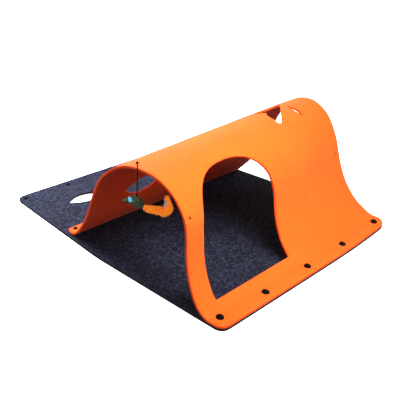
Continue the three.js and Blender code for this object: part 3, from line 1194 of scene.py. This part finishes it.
@dataclass(frozen=True)
class StudRow:
    """A row of press studs across a sheet, at flat places."""

    name: str
    surface: Surface
    cap: StudCap
    places: tuple[Pair, ...]

    @classmethod
    def even(cls, name: str, surface: Surface, cap: StudCap, first: float, along: float) -> StudRow:
        """A row that is even across the felt, from the place of its first stud."""
        columns = np.linspace(first, surface.pattern.width - first, STUDS_PER_ROW)
        return cls(name, surface, cap, tuple((x, along) for x in columns))

    def dents(self) -> list[Triple]:
        """Where and how widely the studs press the felt in."""
        return [(x, along, self.cap.radius) for x, along in self.places]


@dataclass(frozen=True)
class PressStuds:
    """Moulded press-stud caps, pressed into the felt."""

    sides: int = 40
    finish: PlasticFinish = PlasticFinish(
        "stud_plastic", ground=(0.002, 0.002, 0.003, 1), dust=(0.006, 0.006, 0.007, 1)
    )

    def build(self, rows: Sequence[StudRow]) -> None:
        """Makes the studs of some rows in place of their CAD nodes.

        Args:
            rows: The rows.
        """
        material = self.finish.material()
        for row in rows:
            flat = np.array(row.places)
            seats = row.surface.place(flat, row.surface.pattern.felt / 2)
            axes = row.surface.normals(flat)
            for index, (seat, axis) in enumerate(zip(seats, axes), start=1):
                node = f"{row.name}_{index}"
                skin = Skin.over_rings(self._rings(row.cap, seat, axis))
                skin.piece(f"{node}_cap", material, Slot.STUD_PLASTIC, node)

    def _rings(self, cap: StudCap, seat: Points, upright: Points) -> Points:
        """A cap's rings about its axis, from its foot up.

        Args:
            cap: The cap.
            seat: Where the axis leaves the felt.
            upright: Which way the felt faces.

        Returns:
            Points by ring and by side.
        """
        side = unit(np.cross(ALONG_Y, upright))
        front = np.cross(side, upright)
        axis = upright * math.cos(cap.lean) + front * math.sin(cap.lean)
        spoke = spokes(turns(self.sides), side, np.cross(axis, side))
        return np.array([seat + radius * spoke + high * axis for radius, high in cap.rings])


@dataclass(frozen=True)
class Rope:
    """A rope of strands twisted together. Its skew is a direction that no rope here starts in."""

    radius: float
    strands: int = 3
    pitch: float = 0.005
    groove: float = 0.16
    sides: int = 18
    skew: Triple = (0.3, 1.0, 0.2)

    def skin(self, path: Points, closed: bool = False) -> Skin:
        """The rope along a path.

        Args:
            path: Points of its middle line, close together.
            closed: Whether its end joins its start.

        Returns:
            The closed skin.
        """
        if closed:
            heading = unit(np.roll(path, -1, axis=0) - np.roll(path, 1, axis=0))
        else:
            heading = unit(np.gradient(path, axis=0))
        steps = np.linalg.norm(np.diff(path, axis=0), axis=1)
        run = np.concatenate([[0.0], np.cumsum(steps)])
        side = unit(np.cross(heading[0], self.skew))
        turn = turns(self.sides)
        rings = []
        for place, onwards, along in zip(path, heading, run):
            side = unit(side - onwards * np.dot(side, onwards))
            wave = np.cos(self.strands * (turn - FULL_TURN * along / self.pitch))
            reach = self.radius * (1 - self.groove * (1 - wave) / 2)
            rings.append(place + reach[:, None] * spokes(turn, side, np.cross(onwards, side)))
        return Skin.over_rings(np.array(rings), closed)


@dataclass(frozen=True)
class CordStep:
    """A point of the cord near its hole: how far from the hole towards the mouth, and its lift."""

    towards: float
    lift: float


@dataclass
class ToyCord:
    """The cord: from a knot under the cover, through its hole, over the mouth's edge and down."""

    surface: CoverBend
    hole: Pair = (0.020, 0.405)
    hole_radius: float = 0.0038
    edge: Pair = (0.0, 0.384)
    rise: tuple[CordStep, ...] = (
        CordStep(-0.0046, -0.0072),
        CordStep(-0.0030, -0.0046),
        CordStep(-0.0015, -0.0020),
        CordStep(0.0000, 0.0005),
        CordStep(0.0016, 0.0030),
        CordStep(0.0042, 0.0042),
        CordStep(0.0080, 0.0043),
        CordStep(0.0140, 0.0042),
        CordStep(0.0200, 0.0042),
    )
    bend_radius: float = 0.0042
    bend_x: float = 0.0014
    bend_below: float = 0.0023
    bend_slant: float = 1.05
    bend_degrees: tuple[float, ...] = (90, 115, 140, 160, 180)
    tie_height: float = 0.1924
    hang_points: int = 4
    radius: float = 0.00115
    step: float = 0.0006
    knot_scale: float = 0.00075
    tie_knot_scale: float = 0.00042
    stop_knot_scale: float = 0.00058
    stop_lift: float = 0.0038
    knot_steps: int = 90
    finish: YarnFinish = YarnFinish("cord_yarn", (0.002, 0.002, 0.002, 1), (0.007, 0.006, 0.006, 1))

    def __post_init__(self) -> None:
        """Lays the route and finds the point where the toy is tied."""
        pattern = self.surface.pattern
        hole, edge = np.array(self.hole), np.array(self.edge)
        course = unit(edge - hole)
        flat = np.array([hole + course * row.towards for row in self.rise])
        points = list(self.surface.place(flat, np.array([row.lift for row in self.rise])))
        top = self.surface.place(edge[None], pattern.felt / 2)[0]
        for turn in np.radians(self.bend_degrees):
            x = self.bend_x + self.bend_radius * math.cos(turn)
            high = top[2] - self.bend_below + self.bend_radius * math.sin(turn)
            points.append(np.array([x + pattern.left, top[1] + self.bend_slant * x, high]))
        hang = points[-1]
        self.tie = np.array([hang[0], hang[1], self.tie_height])
        end = self.tie_height + pattern.gap
        for share in np.linspace(0, 1, self.hang_points + 1)[1:]:
            points.append(np.array([hang[0], hang[1], hang[2] + (end - hang[2]) * share]))
        curve = Spline.through(np.array(points))
        self.path = curve.at(np.arange(0, curve.length, self.step))

    @property
    def length(self) -> float:
        """The cord's length along its route."""
        return float(np.sum(np.linalg.norm(np.diff(self.path, axis=0), axis=1)))

    def _knot(self, centre: Points, scale: float) -> Points:
        """A knot's middle line, with three lobes.

        Args:
            centre: Its middle.
            scale: Its size.

        Returns:
            Points of the line.
        """
        turn = np.linspace(0, FULL_TURN, self.knot_steps)
        wide = np.sin(turn) + 2 * np.sin(2 * turn)
        deep = np.cos(turn) - 2 * np.cos(2 * turn)
        return centre + np.column_stack([wide, deep, -np.sin(3 * turn)]) * scale

    def build(self) -> list[bpy.types.Object]:
        """Makes the cord and its knots.

        Returns:
            The cord and, after it, the knots.
        """
        material = self.finish.material()
        rope = Rope(self.radius).skin(self.path)
        made = [rope.piece("toy_cord_rope", material, Slot.CORD_YARN, "toy_cord")]
        stop = self.surface.place(np.array([self.hole]), self.stop_lift)[0]
        for name, centre, scale in (
            ("cord_knot", self.path[0], self.knot_scale),
            ("cord_stop", stop, self.stop_knot_scale),
            ("cord_tie", self.tie, self.tie_knot_scale),
        ):
            knot = Rope(self.radius * scale / self.knot_scale).skin(self._knot(centre, scale))
            made.append(knot.piece(name, material, Slot.CORD_YARN))
        return made

    def declare(self, cord: bpy.types.Object, pieces: Sequence[bpy.types.Object]) -> None:
        """Works out where the cord leaves its hole.

        Args:
            cord: The cord's piece. Not used.
            pieces: The pieces on it. Not used.
        """
        exit_place = self.surface.place(np.array([self.hole]), 0.0)[0]
        self.length
        2 * self.radius


@dataclass(frozen=True)
class ToyFrame:
    """The toy's own frame: x from nose to tail and z up, both from the point where it is tied."""

    tie: Triple
    turn: float = math.radians(-47.3)

    def place(self, local: Points) -> Points:
        """The places in the CAD frame of points in the toy's frame."""
        cos, sin = math.cos(self.turn), math.sin(self.turn)
        return local @ np.array([[cos, sin, 0.0], [-sin, cos, 0.0], [0.0, 0.0, 1.0]]) + np.array(self.tie)


@dataclass(frozen=True)
class HeadSection:
    """A section of the head: its place from the tie point, its top, bottom and half width."""

    x: float
    top: float
    bottom: float
    half: float


@dataclass
class ToyHead:
    """The stuffed head: two felt panels, sewn together round its outline."""

    frame: ToyFrame
    finish: FeltFinish
    sections: tuple[HeadSection, ...] = (
        HeadSection(-0.0260, -0.0112, -0.0124, 0.0008),
        HeadSection(-0.0229, -0.0084, -0.0136, 0.0028),
        HeadSection(-0.0179, -0.0050, -0.0156, 0.0046),
        HeadSection(-0.0114, -0.0018, -0.0182, 0.0063),
        HeadSection(-0.0049, 0.0000, -0.0208, 0.0072),
        HeadSection(0.0016, -0.0008, -0.0234, 0.0072),
        HeadSection(0.0071, -0.0042, -0.0256, 0.0062),
        HeadSection(0.0110, -0.0092, -0.0268, 0.0044),
        HeadSection(0.0128, -0.0134, -0.0260, 0.0024),
    )
    rings: int = 44
    sides: int = 40
    pinch: float = 1.35
    lump: float = 0.035
    lump_waves: tuple[Pair, ...] = ((3.0, 310.0), (2.0, -170.0))
    fill: float = 0.7
    seam: Rope = Rope(0.00065, strands=2, pitch=0.0044, groove=0.4, sides=10)
    seam_step: float = 0.0005

    def __post_init__(self) -> None:
        """Makes the curve through the sections."""
        rows = [(row.top, row.bottom, row.half) for row in self.sections]
        self.curve = Spline([row.x for row in self.sections], rows)

    def _columns(self) -> tuple[Points, Points]:
        """Where the rings are along the head, closer at its ends.

        Returns:
            Their places, and a row of top, bottom and half width for each.
        """
        share = (1 - np.cos(np.linspace(0, math.pi, self.rings))) / 2
        x = self.sections[0].x + self.curve.length * share
        return x, self.curve.at(x)

    def build(self) -> list[bpy.types.Object]:
        """Makes the head and its seam in place of the CAD node.

        Returns:
            Both pieces.
        """
        x, rows = self._columns()
        turn = turns(self.sides)
        rings = []
        for place, (top, bottom, half) in zip(x, rows):
            waves = [np.sin(count * turn + rate * place) for count, rate in self.lump_waves]
            swell = 1 + self.lump * np.prod(waves, axis=0)
            wide = -half * np.sign(np.sin(turn)) * np.abs(np.sin(turn)) ** self.pinch * swell
            high = (top + bottom) / 2 + (top - bottom) / 2 * np.cos(turn)
            rings.append(np.column_stack([np.full(self.sides, place), wide, high]))
        skin = Skin.over_rings(np.array(rings))
        skin.points = self.frame.place(skin.points)
        material = self.finish.material()
        head = skin.piece("toy_head_stuffed", material, Slot.GREEN_FELT, "toy_head")
        upper, lower = (np.column_stack([x, np.zeros(len(x)), rows[:, side]]) for side in (0, 1))
        outline = Spline.through(np.vstack([upper, lower[::-1], upper[:1]]))
        path = outline.at(np.arange(0, outline.length, self.seam_step))
        seam = self.seam.skin(path, closed=True)
        seam.points = self.frame.place(seam.points)
        return [head, seam.piece("toy_head_seam", material, Slot.GREEN_FELT)]


@dataclass
class ToyEyes:
    """Two oval beads, one on each side of the head."""

    frame: ToyFrame
    x: float = -0.0115
    near_z: float = -0.0056
    far_z: float = -0.0106
    side: float = 0.0050
    slant: float = math.radians(15)
    width: float = 0.0042
    height: float = 0.0058
    depth: float = 0.0040
    rings: int = 24
    sides: int = 36
    finish: BeadFinish = BeadFinish(
        "eye_bead", (0.008, 0.62, 0.94, 1), (0.006, 0.40, 0.76, 1), (0.004, 0.03, 0.06, 1)
    )

    def build(self) -> list[bpy.types.Object]:
        """Makes both beads in place of their CAD nodes.

        Returns:
            The beads.
        """
        material = self.finish.material()
        made = []
        turn = turns(self.sides)
        cos, sin = math.cos(self.slant), math.sin(self.slant)
        slanted = np.array([[cos, 0.0, sin], [0.0, 1.0, 0.0], [-sin, 0.0, cos]])
        for node, sign, z in (("toy_eye_near", -1, self.near_z), ("toy_eye_far", 1, self.far_z)):
            rings = []
            for lean in np.linspace(0, math.pi, self.rings + 2)[1:-1]:
                flat = np.column_stack([
                    self.width * math.sin(lean) * np.cos(turn),
                    np.full(self.sides, -self.depth * math.cos(lean)),
                    -self.height * math.sin(lean) * np.sin(turn),
                ])
                rings.append(flat)
            skin = Skin.over_rings(np.array(rings))
            spread = np.hypot(skin.points[:, 0] / self.width, skin.points[:, 2] / self.height)
            skin.values[TONE_VALUE] = spread
            skin.points = self.frame.place(skin.points @ slanted + [self.x, sign * self.side, z])
            made.append(skin.piece(f"{node}_bead", material, Slot.EYE_BEAD, node))
        return made


@dataclass(frozen=True)
class TailSection:
    """A section of the tail: its place from the tie point and its radius."""

    x: float
    z: float
    radius: float


@dataclass(frozen=True)
class Fluff:
    """How strands stand on the tail, by share of its length and by turn about it."""

    name: str
    count: int
    start: float
    end: float
    spread: float
    root: float
    length: float
    sweep: float
    droop: float
    finish: FluffFinish


@dataclass
class ToyTail:
    """The fluffy tail, which turns up at its end, with a pale tuft inside the turn."""

    frame: ToyFrame
    sections: tuple[TailSection, ...] = (
        TailSection(0.0135, -0.0214, 0.0042),
        TailSection(0.0214, -0.0254, 0.0068),
        TailSection(0.0323, -0.0272, 0.0071),
        TailSection(0.0432, -0.0282, 0.0079),
        TailSection(0.0526, -0.0298, 0.0097),
        TailSection(0.0613, -0.0226, 0.0073),
        TailSection(0.0604, -0.0137, 0.0041),
        TailSection(0.0586, -0.0048, 0.0033),
        TailSection(0.0564, 0.0020, 0.0023),
    )
    core_share: float = 0.86
    core_rings: int = 60
    core_sides: int = 20
    core_lump: float = 0.07
    lump_turns: int = 5
    lump_rates: Pair = (37.0, 61.0)
    strand_radius: float = 0.00040
    strand_taper: tuple[float, ...] = (1.0, 0.85, 0.55)
    strand_sides: int = 3
    strand_skew: Triple = (0.1, 0.3, 0.2)
    length_spread: float = 0.45
    way_spread: float = 0.28
    tone_spread: float = 0.28
    slope_steps: int = 1000
    seed: int = 11

    def __post_init__(self) -> None:
        """Makes the curves of the tail's middle line and radius."""
        points = np.array([(row.x, row.z) for row in self.sections])
        self.line = Spline.through(points)
        self.radius = Spline(self.line.knots, [[row.radius] for row in self.sections])

    def _along(self, share: Points) -> tuple[Points, Points, Points, Points]:
        """The tail at shares of its length.

        Args:
            share: The shares, from 0 to 1.

        Returns:
            Its middle, its heading, the way to its inner side, and its radius, for each share.
        """
        reach = share * self.line.length
        step = self.line.length / self.slope_steps
        middle = self.line.at(reach)
        heading = unit(self.line.at(reach + step) - self.line.at(reach - step))
        flat = np.zeros(len(share))
        place = np.column_stack([middle[:, 0], flat, middle[:, 1]])
        onwards = np.column_stack([heading[:, 0], flat, heading[:, 1]])
        inner = np.column_stack([-heading[:, 1], flat, heading[:, 0]])
        return place, onwards, inner, self.radius.at(reach)

    def _core(self) -> Skin:
        """The lumpy body that the strands stand on.

        Returns:
            Its closed skin.
        """
        shares = np.linspace(0, 1, self.core_rings)
        places, _, inners, radii = self._along(shares)
        turn = turns(self.core_sides)
        first_rate, second_rate = self.lump_rates
        rings = []
        for share, place, inner, radius in zip(shares, places, inners, radii):
            wave = np.sin(self.lump_turns * turn + first_rate * share)
            cross_wave = np.cos(second_rate * share + turn)
            reach = radius * self.core_share * (1 + self.core_lump * wave * cross_wave)
            rings.append(place + reach[:, None] * spokes(turn, inner, -ALONG_Y))
        skin = Skin.over_rings(np.array(rings))
        skin.points = self.frame.place(skin.points)
        return skin

    def _strands(self, fluff: Fluff) -> Skin:
        """Tapered strands that stand out of the core and sweep towards its tip.

        Args:
            fluff: How many there are, and how they stand.

        Returns:
            All of them in one skin, each with a tone of its own.
        """
        chance = np.random.default_rng(self.seed)
        order = np.arange(fluff.count)
        share = fluff.start + (fluff.end - fluff.start) * (order + HALF) / fluff.count
        place, onwards, inner, radius = self._along(share)
        turn = ((order * GOLDEN_ANGLE / FULL_TURN) % 1 - HALF) * fluff.spread
        out = spokes(turn, inner, -ALONG_Y)
        length = fluff.length * (1 + self.length_spread * chance.uniform(-1, 1, (fluff.count, 1)))
        length *= np.sqrt(radius / radius.max())
        way = unit(out + fluff.sweep * onwards + chance.normal(0, self.way_spread, (fluff.count, 3)))
        bow = onwards * fluff.droop + chance.normal(0, self.way_spread / 2, (fluff.count, 3))
        root = place + out * radius * fluff.root
        side = unit(np.cross(way, onwards + np.array(self.strand_skew)))
        other = np.cross(way, side)
        rings = []
        for level, taper in enumerate(self.strand_taper):
            at = level / len(self.strand_taper)
            centre = root + length * (at * way + at * at * bow)
            for corner in range(self.strand_sides):
                angle = FULL_TURN * corner / self.strand_sides
                spoke = math.cos(angle) * side + math.sin(angle) * other
                rings.append(centre + self.strand_radius * taper * spoke)
        rings.append(root + length * (way + bow))
        points = np.stack(rings, axis=1)
        size = points.shape[1]
        pattern = self._strand_faces()
        starts = range(0, fluff.count * size, size)
        faces = [tuple(start + corner for corner in face) for start in starts for face in pattern]
        tone = np.clip(HALF + chance.normal(0, self.tone_spread, fluff.count), 0, 1)
        skin = Skin(self.frame.place(points.reshape(-1, 3)), faces)
        skin.values[TONE_VALUE] = np.repeat(tone, size)
        return skin

    def _strand_faces(self) -> list[tuple[int, ...]]:
        """The faces of one strand.

        Returns:
            Its foot, its sides and its tip, as numbers of its own points.
        """
        sides, levels = self.strand_sides, len(self.strand_taper)
        faces: list[tuple[int, ...]] = [tuple(reversed(range(sides)))]
        for corner in range(sides):
            after = (corner + 1) % sides
            for level in range(levels - 1):
                low, high = level * sides, (level + 1) * sides
                faces.append((low + corner, low + after, high + after, high + corner))
            last = (levels - 1) * sides
            faces.append((last + corner, last + after, levels * sides))
        return faces

    def build(self, fluffs: Sequence[Fluff]) -> None:
        """Makes the core in place of the CAD node, and the strands on it.

        Args:
            fluffs: The kinds of strand, the main one first.
        """
        materials = [fluff.finish.material() for fluff in fluffs]
        self._core().piece("toy_tail_core", materials[0], Slot.TAIL_FLUFF, "toy_tail")
        for fluff, material in zip(fluffs, materials):
            self._strands(fluff).piece(fluff.name, material, Slot.TAIL_FLUFF)


@dataclass(frozen=True)
class FarLamp:
    """A lamp so far off that its light comes from one side alone."""

    name: str
    turn: float
    height: float
    strength: float
    spread: float = math.radians(30)

    def build(self) -> None:
        """Makes the lamp, facing the object."""
        lamp = bpy.data.lights.new(self.name, "SUN")
        lamp.energy = self.strength
        lamp.angle = self.spread
        level = math.cos(self.height)
        away = Vector((math.cos(self.turn) * level, math.sin(self.turn) * level, math.sin(self.height)))
        link(self.name, lamp).matrix_world = away.to_track_quat("Z", "Y").to_matrix().to_4x4()


@dataclass(frozen=True)
class SoftBox:
    """A round soft box near the object."""

    name: str
    place: Triple
    watts: float
    colour: Triple = WHITE[:3]
    size: float = 0.5
    aim: Triple = (0.0, -0.08, 0.12)

    def build(self) -> None:
        """Makes the soft box, facing the object."""
        lamp = bpy.data.lights.new(self.name, "AREA")
        lamp.shape = "DISK"
        lamp.size = self.size
        lamp.energy = self.watts
        lamp.color = self.colour
        away = Vector(self.place) - Vector(self.aim)
        facing = away.to_track_quat("Z", "Y").to_matrix().to_4x4()
        made = link(self.name, lamp)
        made.matrix_world = Matrix.Translation(self.place) @ facing
        made.visible_camera = False


@dataclass(frozen=True)
class Studio:
    """A pale floor and wall, soft light from in front, behind and above, and the photograph's camera."""

    floor_radius: float = 9.0
    floor_drop: float = 0.0004
    floor_sides: int = 48
    wall_height: float = 9.0
    floor_colour: Colour = (0.9, 0.9, 0.9, 1)
    floor_rough: float = 0.9
    stage_glow: float = 1.2
    fill_strength: float = 0.05
    far_lamps: tuple[FarLamp, ...] = (
        FarLamp("front_lamp", math.radians(264), math.radians(47), 0.4),
        FarLamp("left_lamp", math.radians(165), math.radians(3), 1.1, math.radians(8)),
    )
    soft_boxes: tuple[SoftBox, ...] = (
        SoftBox("back_box", (-0.25, 0.75, 0.50), 15.5, (0.88, 0.97, 1.15)),
        SoftBox("top_box", (0.0, 0.45, 0.85), 7.5, (0.95, 0.99, 1.05)),
        SoftBox("front_box", (-0.10, -0.60, 0.86), 11.0),
        SoftBox("right_box", (0.45, -0.85, 0.45), 1.7),
        SoftBox("left_box", (-0.16, -0.62, 0.55), 3.2),
    )
    camera_place: Triple = (-1.0866, -0.9532, 0.7506)
    camera_heading: float = math.radians(49.049)
    camera_dip: float = math.radians(26.041)
    camera_roll: float = math.radians(3.998)
    camera_lens: float = 60.94
    camera_sensor: float = 36.0

    def build(self) -> None:
        """Makes the stage, the lights and the camera."""
        turn = turns(self.floor_sides)
        rim = self.floor_radius * np.column_stack([np.cos(turn), np.sin(turn), np.zeros(len(turn))])
        low = rim - [0.0, 0.0, self.floor_drop]
        high = rim + [0.0, 0.0, self.wall_height]
        count = self.floor_sides
        sides = [(i, (i + 1) % count, (i + 1) % count + count, i + count) for i in range(count)]
        self._stage("floor", low, [tuple(range(count))])
        self._stage("wall", np.vstack([low, high]), sides)
        self._fill()
        for lamp in (*self.far_lamps, *self.soft_boxes):
            lamp.build()
        self._camera()

    def _stage(self, name: str, points: Points, faces: list[tuple[int, ...]]) -> None:
        """Makes a part of the stage that throws no light or shade on the object.

        Args:
            name: Its name.
            points: Its corners.
            faces: Its faces.
        """
        mesh = bpy.data.meshes.new(name)
        mesh.from_pydata(points.tolist(), [], faces)
        mesh.materials.append(
            Shader(f"pale_{name}").finish(
                Base_Color=self.floor_colour,
                Roughness=self.floor_rough,
                Emission_Color=self.floor_colour,
                Emission_Strength=self.stage_glow,
            )
        )
        made = link(name, mesh)
        made.visible_diffuse = False
        made.visible_shadow = False

    def _fill(self) -> None:
        """Weak even light from all round."""
        world = bpy.data.worlds.new("studio")
        world.use_nodes = True
        light = world.node_tree.nodes["Background"].inputs
        light["Color"].default_value = WHITE
        light["Strength"].default_value = self.fill_strength
        bpy.context.scene.world = world
        bpy.context.scene.view_settings.view_transform = "Standard"

    def _camera(self) -> None:
        """The photograph's viewpoint."""
        data = bpy.data.cameras.new("photo_view")
        data.lens = self.camera_lens
        data.sensor_width = self.camera_sensor
        heading = Matrix.Rotation(-self.camera_heading, MATRIX_SIZE, "Z")
        dip = Matrix.Rotation(math.pi / 2 - self.camera_dip, MATRIX_SIZE, "X")
        roll = Matrix.Rotation(self.camera_roll, MATRIX_SIZE, "Z")
        camera = link("photo_view", data)
        camera.matrix_world = Matrix.Translation(self.camera_place) @ heading @ dip @ roll
        bpy.context.scene.camera = camera


@dataclass
class CatTunnel:
    """The whole object: its sheets, studs, cord and toy."""

    pattern: Pattern
    mat_taper: float = 0.029
    mat_taper_start: float = 0.350
    cover_taper: float = 0.020
    cover_taper_start: float = 0.555
    front_radii: Pair = (0.023, 0.034)
    mat_back_radius: float = 0.025
    cover_back_radius: float = 0.012
    cover_fade: float = 0.072
    mat_fade: float = 0.12
    back_window: tuple[float, ...] = (0.1485, 0.5815, 0.0525, 0.0265)
    mat_leaf: tuple[float, ...] = (0.158, 0.5885, 0.049, 0.0205)
    spare_holes: tuple[Triple, ...] = ((0.0145, 0.240, 0.0024), (0.582, 0.228, 0.0024))
    mat_spare_hole: Triple = (0.032, 0.511, 0.0024)
    top_hole: tuple[CutRow, ...] = (
        CutRow(0.3445, 0.4170, 0.4210),
        CutRow(0.3490, 0.4085, 0.4270),
        CutRow(0.3610, 0.4095, 0.4420),
        CutRow(0.3720, 0.4090, 0.4545),
        CutRow(0.3840, 0.4120, 0.4685),
        CutRow(0.3930, 0.4240, 0.4800),
        CutRow(0.3990, 0.4230, 0.4885),
        CutRow(0.4050, 0.4140, 0.4960),
        CutRow(0.4160, 0.4110, 0.5110),
        CutRow(0.4250, 0.4160, 0.5120),
    )
    slit: tuple[CutRow, ...] = (
        CutRow(0.3430, 0.5070, 0.5095),
        CutRow(0.3480, 0.5035, 0.5105),
        CutRow(0.3580, 0.4990, 0.5100),
        CutRow(0.3670, 0.4973, 0.5097),
        CutRow(0.3760, 0.4965, 0.5070),
        CutRow(0.3830, 0.4995, 0.5055),
        CutRow(0.3885, 0.5030, 0.5050),
    )
    front_studs: tuple[Pair, ...] = (
        (0.025, 0.028),
        (0.155, 0.022),
        (0.300, 0.022),
        (0.438, 0.022),
        (0.575, 0.022),
    )
    foot_row: Pair = (0.036, 0.7338)
    back_row: Pair = (0.044, 0.675)
    orange: FeltFinish = FeltFinish(
        name="orange_felt",
        ground=(0.86, 0.106, 0.0078, 1),
        shade=(0.83, 0.096, 0.0064, 1),
        fleck=(0.90, 0.140, 0.0135, 1),
        # Redder than the faces: partly the cut felt's own tone, partly painted shade of rims that face away
        # from the light.
        cut_edge=(0.95, 0.075, 0.0060, 1),
        # Painted shade on the rims of the window, the cord's hole and the spare holes.
        painted_shade_edge=(0.38, 0.016, 0.0016, 1),
        # Painted shade: the deep red of light bounced about inside the tunnel.
        underside=(0.92, 0.055, 0.0036, 1),
        fleck_edge=(0.40, 0.72),
        sheen=0.03,
        mottle=0.5,
    )
    grey: FeltFinish = FeltFinish(
        name="grey_felt",
        ground=(0.0027, 0.0028, 0.0064, 1),
        shade=(0.0041, 0.0043, 0.0093, 1),
        fleck=(0.0345, 0.0392, 0.0745, 1),
        cut_edge=(0.005, 0.005, 0.007, 1),
        # Painted shade on the rim of the mat's spare hole.
        painted_shade_edge=(0.003, 0.003, 0.004, 1),
        underside=(0.012, 0.013, 0.024, 1),
        fleck_edge=(0.44, 0.66),
        sheen=0.02,
        mottle=0.6,
        mottle_grain=Grain(140.0, 3.0, 0.7),
    )
    green: FeltFinish = FeltFinish(
        name="green_felt",
        ground=(0.034, 0.056, 0.026, 1),
        shade=(0.020, 0.036, 0.016, 1),
        fleck=(0.210, 0.270, 0.150, 1),
        cut_edge=(0.030, 0.050, 0.025, 1),
        painted_shade_edge=(0.015, 0.025, 0.012, 1),
        underside=(0.030, 0.050, 0.025, 1),
        fleck_edge=(0.45, 0.70),
        sheen=0.1,
        mottle=0.5,
        mottle_grain=Grain(300.0, 3.0, 0.7),
        clump_grain=Grain(500.0, 5.0, 0.7, 0.6),
        fibre_grain=Grain(200.0, 4.0),
        relief=0.0004,
    )
    # The fluffs' glow is painted light, not a lamp.
    fluffs: tuple[Fluff, ...] = (
        Fluff(
            name="toy_tail_fluff",
            count=2600,
            start=0.0,
            end=1.0,
            spread=FULL_TURN,
            root=0.70,
            length=0.0048,
            sweep=0.85,
            droop=0.25,
            finish=FluffFinish("tail_fluff", (0.80, 0.085, 0.001, 1), (1.0, 0.52, 0.008, 1), painted_glow=0.44),
        ),
        Fluff(
            name="toy_tail_pale_tuft",
            count=320,
            start=0.72,
            end=0.93,
            spread=2.1,
            root=0.80,
            length=0.0064,
            sweep=0.35,
            droop=0.1,
            finish=FluffFinish("pale_tuft", (0.20, 0.10, 0.16, 1), (0.86, 0.66, 0.62, 1), painted_glow=0.30),
        ),
    )

    def __post_init__(self) -> None:
        """Lays out the surfaces, the rows of studs and the cord."""
        self.mat_lie = MatLie(self.pattern, CornerCurl(self.pattern.width, self.mat_fade))
        self.cover_bend = CoverBend(self.pattern, CornerCurl(self.pattern.width, self.cover_fade))
        self.cover_rows = [
            StudRow("front_stud", self.cover_bend, DOMED_CAP, self.front_studs),
            StudRow.even("foot_stud", self.cover_bend, FLAT_CAP, *self.foot_row),
        ]
        self.mat_rows = [StudRow.even("back_stud", self.mat_lie, FLAT_CAP, *self.back_row)]
        self.cord = ToyCord(self.cover_bend)

    def _outline(self, length: float, taper: float, taper_start: float, back_radius: float) -> Points:
        """A sheet's outline: straight sides, then a taper to the back.

        Args:
            length: How long the sheet is.
            taper: How far each side comes in at the back.
            taper_start: How far along the taper starts.
            back_radius: How round the corners behind the front ones are.

        Returns:
            The outline.
        """
        width = self.pattern.width
        corners = [(0, 0), (width, 0), (width, taper_start)]
        corners += [(width - taper, length), (taper, length), (0, taper_start)]
        radii = [*self.front_radii] + [back_radius] * (len(corners) - len(self.front_radii))
        return rounded_loop(np.array(corners, float), radii)

    def _mat(self) -> FeltSheet:
        """The grey mat.

        Returns:
            Its sheet, ready to be made.
        """
        length = self.pattern.mat_length
        return FeltSheet(
            name="mat_sheet",
            node="base_mat",
            slot=Slot.GREY_FELT,
            surface=self.mat_lie,
            outline=self._outline(length, self.mat_taper, self.mat_taper_start, self.mat_back_radius),
            holes=[leaf_loop(*self.mat_leaf)],
            # The spare hole's rim is painted as shade.
            shade_painted_holes=[round_loop(*self.mat_spare_hole)],
            pressed=[dent for row in self.mat_rows for dent in row.dents()],
            finish=self.grey,
        )

    def _cover(self) -> FeltSheet:
        """The orange cover.

        Returns:
            Its sheet, ready to be made.
        """
        length = self.cover_bend.length
        # The window, the cord's hole and the spare holes get rims of painted shade.
        shade_painted_holes = [leaf_loop(*self.back_window), round_loop(*self.cord.hole, self.cord.hole_radius)]
        shade_painted_holes += [round_loop(*hole) for hole in self.spare_holes]
        return FeltSheet(
            name="cover_sheet",
            node="tunnel_cover",
            slot=Slot.ORANGE_FELT,
            surface=self.cover_bend,
            outline=self._outline(length, self.cover_taper, self.cover_taper_start, self.cover_back_radius),
            holes=[Door().loop(), row_loop(self.top_hole), row_loop(self.slit)],
            shade_painted_holes=shade_painted_holes,
            pressed=[dent for row in self.cover_rows for dent in row.dents()],
            finish=self.orange,
        )

    def build(self) -> None:
        """Makes every piece."""
        cord, *knots = self.cord.build()
        frame = ToyFrame(tuple(self.cord.tie))
        head = [*ToyHead(frame, self.green).build(), *ToyEyes(frame).build()]
        ToyTail(frame).build(self.fluffs)
        self.cord.declare(cord, [*knots, *head])
        mat, cover = self._mat(), self._cover()
        mat_piece, cover_piece = mat.build(), cover.build()
        PressStuds().build([*self.cover_rows, *self.mat_rows])
        cover_flat = (self.pattern.width, self.cover_bend.length)
        mat.area
        cover.area


def main() -> None:
    """Builds the scene around the frame."""
    logging.basicConfig(level=logging.INFO, format="%(name)s: %(message)s")
    for leftover in list(bpy.data.objects):
        bpy.data.objects.remove(leftover)
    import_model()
    Studio().build()
    CatTunnel(Pattern.from_frame()).build()


if __name__ == "__main__":
    main()
